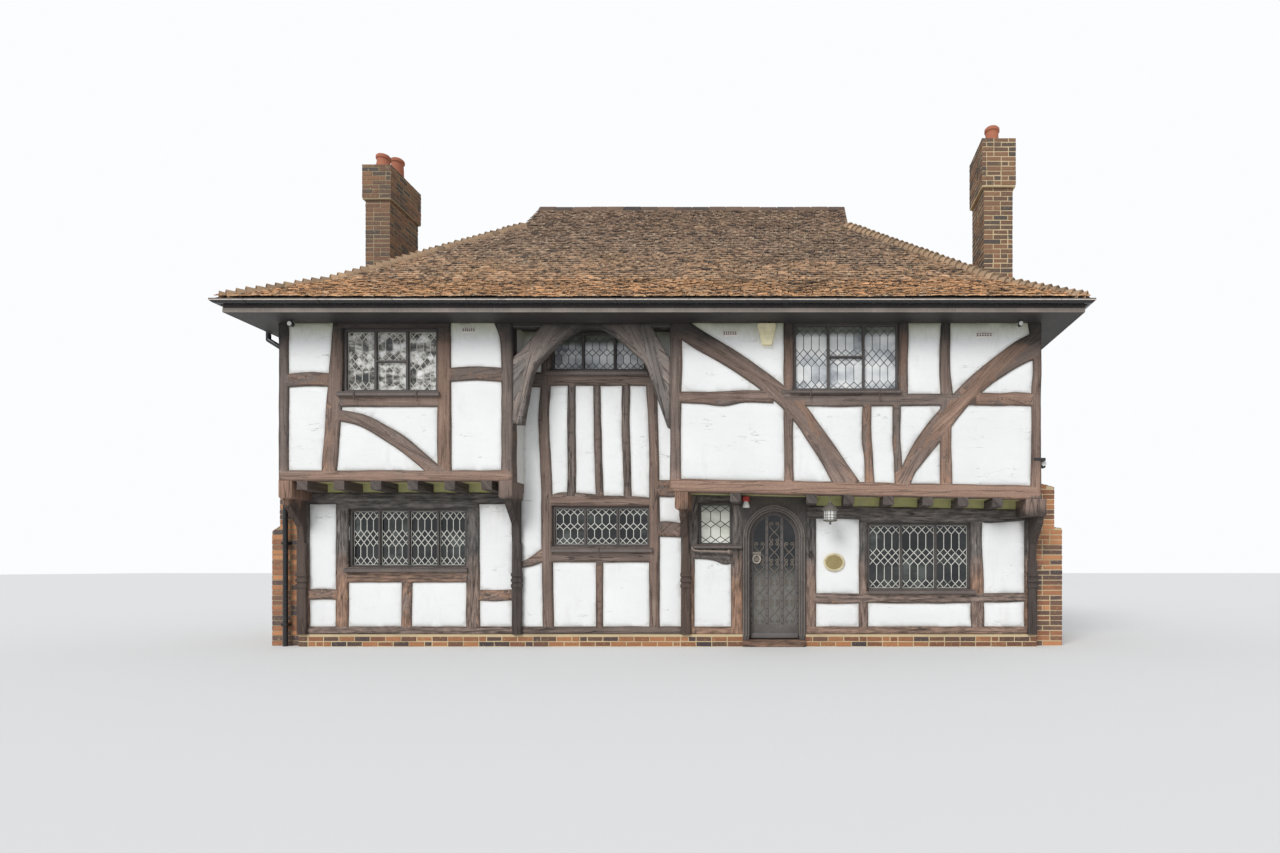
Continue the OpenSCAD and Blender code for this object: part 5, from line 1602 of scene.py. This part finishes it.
class HOUSE_OT_metalwork(bpy.types.Operator):
    """Finish gutters, pipes, ironwork, lantern and fittings"""

    bl_idname = "house.metalwork"
    bl_label = "Metalwork"

    def execute(self, context):
        fitting = trade("fitting")
        black = cast_metal("gutter_black", fitting.gutter, 0.24, 0.0, 0.0002)
        dress(black, "gutters", "downpipes")
        self.clip_gutters(black)
        dress(cast_metal("wrought_iron", (0.19, 0.16, 0.135), 0.55, 0.3), "door_furniture")
        dress(stone_floor("flags", (0.34, 0.32, 0.28)), "ground_floor")
        glow = cast_metal("opal_glass", (0.8, 0.8, 0.76), 0.25, 0.0, 0.0)
        self.hang_bell_pull(cast_metal("bell_iron", (0.035, 0.029, 0.027), 0.6, 0.2))
        self.make_lantern(cast_metal("lantern_pewter", fitting.pewter, 0.5, 0.5), glow)
        self.fix_to_walls(fitting, glow)
        return {"FINISHED"}

    def clip_gutters(self, black):
        """Clips at even steps along each gutter, a wider union where two lengths meet, and a pale bead along
        each front lip: a painted highlight.
        """
        clips, lips = Heap(), Heap()
        for out, edge, reach, unions, end in GUTTERS:
            along = UP.cross(out)
            count = round(2 * reach / 0.98)
            middle = out * edge + UP * GUTTER_Z
            for i in range(count + 1):
                clip(clips, middle + along * (-reach + 2 * reach * i / count), out, 0.022, 0.006)
            for step in unions:
                clip(clips, middle + along * step, out, 0.095, 0.005)
            # A pale bead along the front of the gutter: a painted highlight
            lips.sweep([out * (edge + 0.052) + along * (s * (end + 0.052)) + UP * (GUTTER_Z - 0.02)
                        for s in (-1, 1)], circle(6, 0.0075), UP)
        clips.piece("gutter_clips", black, "gutter_plastic", 50)
        painted_highlight = cast_metal("painted_highlight_lip", (0.62, 0.54, 0.47), 0.6, 0.0, 0.0)
        lips.piece("gutter_lips", painted_highlight, "gutter_plastic")

    def hang_bell_pull(self, iron):
        """A forged bell pull on the door post: a rose with a stirrup hung from it."""
        pull = Heap()
        pull.turn([(0.017, -0.008), (0.018, 0.002), (0.012, 0.009), (0.007, 0.03)], BELL_PULL,
                  "Y", 16)
        for aside in (-1, 1):
            pull.sweep([BELL_PULL + Vector((aside * x, -0.024, z)) for x, z in
                        ((0.002, 0.004), (0.016, -0.018), (0.036, -0.046), (0.03, -0.064), (0.0, -0.072))],
                       circle(8, 0.0075))
        pull.piece("bell_pull", iron, "black_iron", 50)

    def make_lantern(self, pewter, glow):
        """A six sided lantern: opal panes between bars, a spun roof and a rod to the beam."""
        metal, panes = Heap(), Heap()
        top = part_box("lantern")[1].z - LANTERN_FOOT.z
        for sides, profile in (
                (12, [(0.004, 0.0), (0.015, 0.008), (0.019, 0.018), (0.009, 0.028), (0.016, 0.04)]),
                (6, [(0.03, 0.036), (0.09, 0.046), (0.098, 0.056), (0.098, 0.066), (0.09, 0.07)]),
                (24, [(0.098, 0.194), (0.12, 0.2), (0.122, 0.21), (0.076, 0.262), (0.036, 0.29),
                      (0.026, 0.3)]),
                (12, [(0.022, 0.296), (0.031, 0.303), (0.024, 0.314), (0.012, 0.322), (0.0065, 0.34),
                      (0.0065, top)])):
            metal.turn(profile, LANTERN_FOOT, "Z", sides)
        panes.turn([(0.084, 0.068), (0.09, 0.2)], LANTERN_FOOT, "Z", 6)
        bar = circle(6, 0.0045)
        corners = [[LANTERN_FOOT + Vector((u * r, v * r, z))
                    for r, z in ((0.086, 0.066), (0.089, 0.134), (0.092, 0.202))] for u, v in circle(6, 1.0)]
        for corner, following in around(corners):
            metal.sweep(corner, bar, RIGHT)
            metal.sweep([a.lerp(b, 0.5) for a, b in zip(corner, following)], bar, RIGHT)
            for share in (0.42, 1.0):
                metal.sweep([a.lerp(b, share) for a, b in (corner[:2], following[:2])], bar, UP)
        metal.piece("lantern_frame", pewter, "lantern_metal", replaces=["lantern"])
        panes.piece("lantern_panes", glow, "window_glass", 20)

    def fix_to_walls(self, fitting, glow):
        """Bell box, bare oval plate, air bricks, spot lamps and the lamps on the corner and by the door."""
        cream = cast_metal("cream_casing", fitting.cream, 0.5, 0.0)
        worn_copy("eased_fittings", "wall_fittings", cream, 0.006)
        plate, field, dark, body, glass, red = (Heap() for _ in range(6))
        plate.loft([oval(width, y) for width, y in ((0.15, -2.862), (0.155, -2.868), (0.155, -2.886),
                                                    (0.146, -2.893), (0.132, -2.893), (0.127, -2.884))])
        field.loft([oval(0.128, -2.88), oval(0.12, -2.887)])
        for x0, x1, z0, z1 in VENTS:
            body.box((x0, -3.29, z0), (x1, -3.255, z1), 0.003)
            # Dark boxes on the vent's face stand for its holes: painted shade inside them
            for i in range(6):
                x = x0 + (i + 0.5) * (x1 - x0) / 6
                for z in (z0 + (z1 - z0) * 0.3, z0 + (z1 - z0) * 0.72):
                    dark.box((x - 0.01, -3.2915, z - 0.008), (x + 0.01, -3.27, z + 0.008), 0.001)
        for x in SPOTS:
            dark.turn([(0.008, 0.0), (0.008, 0.06)], (x, -3.415, 4.55), "Z", 10)
            for heap, profile in ((dark, [(0.012, -0.045), (0.03, -0.032), (0.036, 0.03), (0.034, 0.034)]),
                                  (glass, [(0.031, 0.03), (0.029, 0.04)])):
                heap.turn(profile, (x, -3.43, 4.545), "Y", 16)
        red.box((1.15, -3.045, 2.12), (1.246, -2.965, 2.196), 0.01)
        glass.turn([(0.052, 0.0), (0.05, 0.02), (0.03, 0.092)], (1.199, -3.004, 2.03), "Z", 20)
        dark.box((5.27, -3.306, 2.668), (5.436, -3.15, 2.708), 0.004)
        dark.box((5.378, -3.215, 2.58), (5.47, -3.125, 2.69), 0.01)
        glass.turn([(0.036, 0.0), (0.04, 0.018), (0.026, 0.034)], (5.435, -3.215, 2.64), "Y", 16)
        brass = fired_clay("worn_brass", ((0.1, 0.075, 0.03), (0.3, 0.23, 0.1), (0.58, 0.5, 0.28)),
                           (0.62, 0.55, 0.34), 0.5, 0.001)
        plate.piece("oval_rim", cast_metal("gilt_rim", (0.66, 0.58, 0.38), 0.45, 0.2), "cream_fitting", 30)
        field.piece("oval_field", brass, "cream_fitting")
        body.piece("air_bricks", cast_metal("limed_brick", fitting.vent, 0.9, 0.0), "terracotta")
        dark.piece("dark_fittings", cast_metal("fitting_black", fitting.iron, 0.5, 0.2), "black_iron")
        glass.piece("lamp_glasses", glow, "window_glass", 50)
        red.piece("red_lamp_cap", cast_metal("lamp_red", (0.42, 0.035, 0.03), 0.4, 0.0), "cream_fitting")


# Stage

PHOTO_SIZE = 1280, 853


class HOUSE_OT_stage(bpy.types.Operator):
    """Set up the floor, the light and the camera of the photograph"""

    bl_idname = "house.stage"
    bl_label = "Stage"

    def execute(self, context):
        stage = trade("stage")
        scene = context.scene
        lens = bpy.data.cameras.new("camera")
        lens.sensor_width = 36.0
        wide, high = PHOTO_SIZE
        lens.lens = stage.focal * lens.sensor_width / wide
        lens.shift_x = (wide / 2 - stage.centre[0]) / wide
        lens.shift_y = (stage.centre[1] - high / 2) / wide
        lens.clip_end = 300.0
        camera = bpy.data.objects.new("camera", lens)
        camera.location = stage.eye
        camera.rotation_euler = (math.radians(90), 0, 0)
        scene.collection.objects.link(camera)
        scene.camera = camera
        self.lay_floor(stage)
        self.hang_lights(scene)
        scene.view_settings.view_transform = "Standard"
        return {"FINISHED"}

    def lay_floor(self, stage):
        """A wide pale floor that counts as backdrop."""
        reach = 120.0
        mesh = bpy.data.meshes.new("floor")
        mesh.from_pydata([(-reach, -reach, 0), (reach, -reach, 0), (reach, reach, 0), (-reach, reach, 0)], [],
                         [(0, 1, 2, 3)])
        paper = Finish("floor", 0.9)
        paper.body = paper.scale_of_tones(paper.cloud(0.05, 2.0), *shades(stage.floor, 0.98, 1.0))
        mesh.materials.append(paper.done())
        floor = bpy.data.objects.new("floor", mesh)
        bpy.context.scene.collection.objects.link(floor)

    def hang_lights(self, scene):
        """An even sky, white to the camera, and a broad soft sun from the front left."""
        world = bpy.data.worlds.new("sky")
        scene.world = world
        world.use_nodes = True
        tree = world.node_tree
        sky = tree.nodes["Background"]
        seen, paths, choose = (tree.nodes.new("ShaderNode" + kind)
                               for kind in ("Background", "LightPath", "MixShader"))
        sky.inputs["Strength"].default_value = 0.62
        sky.inputs["Color"].default_value = (0.93, 0.96, 1.0, 1.0)
        seen.inputs["Color"].default_value = (0.97, 0.98, 1.0, 1.0)
        for i, output in enumerate((paths.outputs["Is Camera Ray"], sky.outputs[0], seen.outputs[0])):
            tree.links.new(output, choose.inputs[i])
        tree.links.new(choose.outputs[0], tree.nodes["World Output"].inputs[0])
        sun = bpy.data.lights.new("sun", "SUN")
        sun.energy = 1.9
        sun.angle = math.radians(28)
        lamp = bpy.data.objects.new("sun", sun)
        lamp.rotation_euler = (math.radians(52), 0, math.radians(-24))
        scene.collection.objects.link(lamp)


# Sidebar and registration

OPERATORS = (
    HOUSE_OT_stage, HOUSE_OT_timbers, HOUSE_OT_plaster, HOUSE_OT_peg_tiles, HOUSE_OT_hips_and_ridge,
    HOUSE_OT_bricks, HOUSE_OT_windows, HOUSE_OT_leaded_lights, HOUSE_OT_joinery, HOUSE_OT_metalwork,
)


class HOUSE_PT_panel(bpy.types.Panel):
    """Every piece of the house and its settings"""

    bl_idname = "HOUSE_PT_panel"
    bl_label = "Half timbered house"
    bl_space_type = "VIEW_3D"
    bl_region_type = "UI"
    bl_category = "House"

    def draw(self, context):
        for operator in OPERATORS:
            self.layout.operator(operator.bl_idname)
        for name in GROUPS:
            box = self.layout.box()
            box.label(text=name.capitalize())
            group = getattr(context.scene.house, name)
            for field in group.__annotations__:
                box.prop(group, field)


def register():
    for group in (*GROUPS.values(), HouseSettings, *OPERATORS, HOUSE_PT_panel):
        bpy.utils.register_class(group)
    bpy.types.Scene.house = PointerProperty(type=HouseSettings)


def unregister():
    del bpy.types.Scene.house
    for group in reversed((*GROUPS.values(), HouseSettings, *OPERATORS, HOUSE_PT_panel)):
        bpy.utils.unregister_class(group)


def main():
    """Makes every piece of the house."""
    register()
    for operator in OPERATORS:
        trade_name, step = operator.bl_idname.split(".")
        getattr(getattr(bpy.ops, trade_name), step)()


if __name__ == "__main__":
    main()
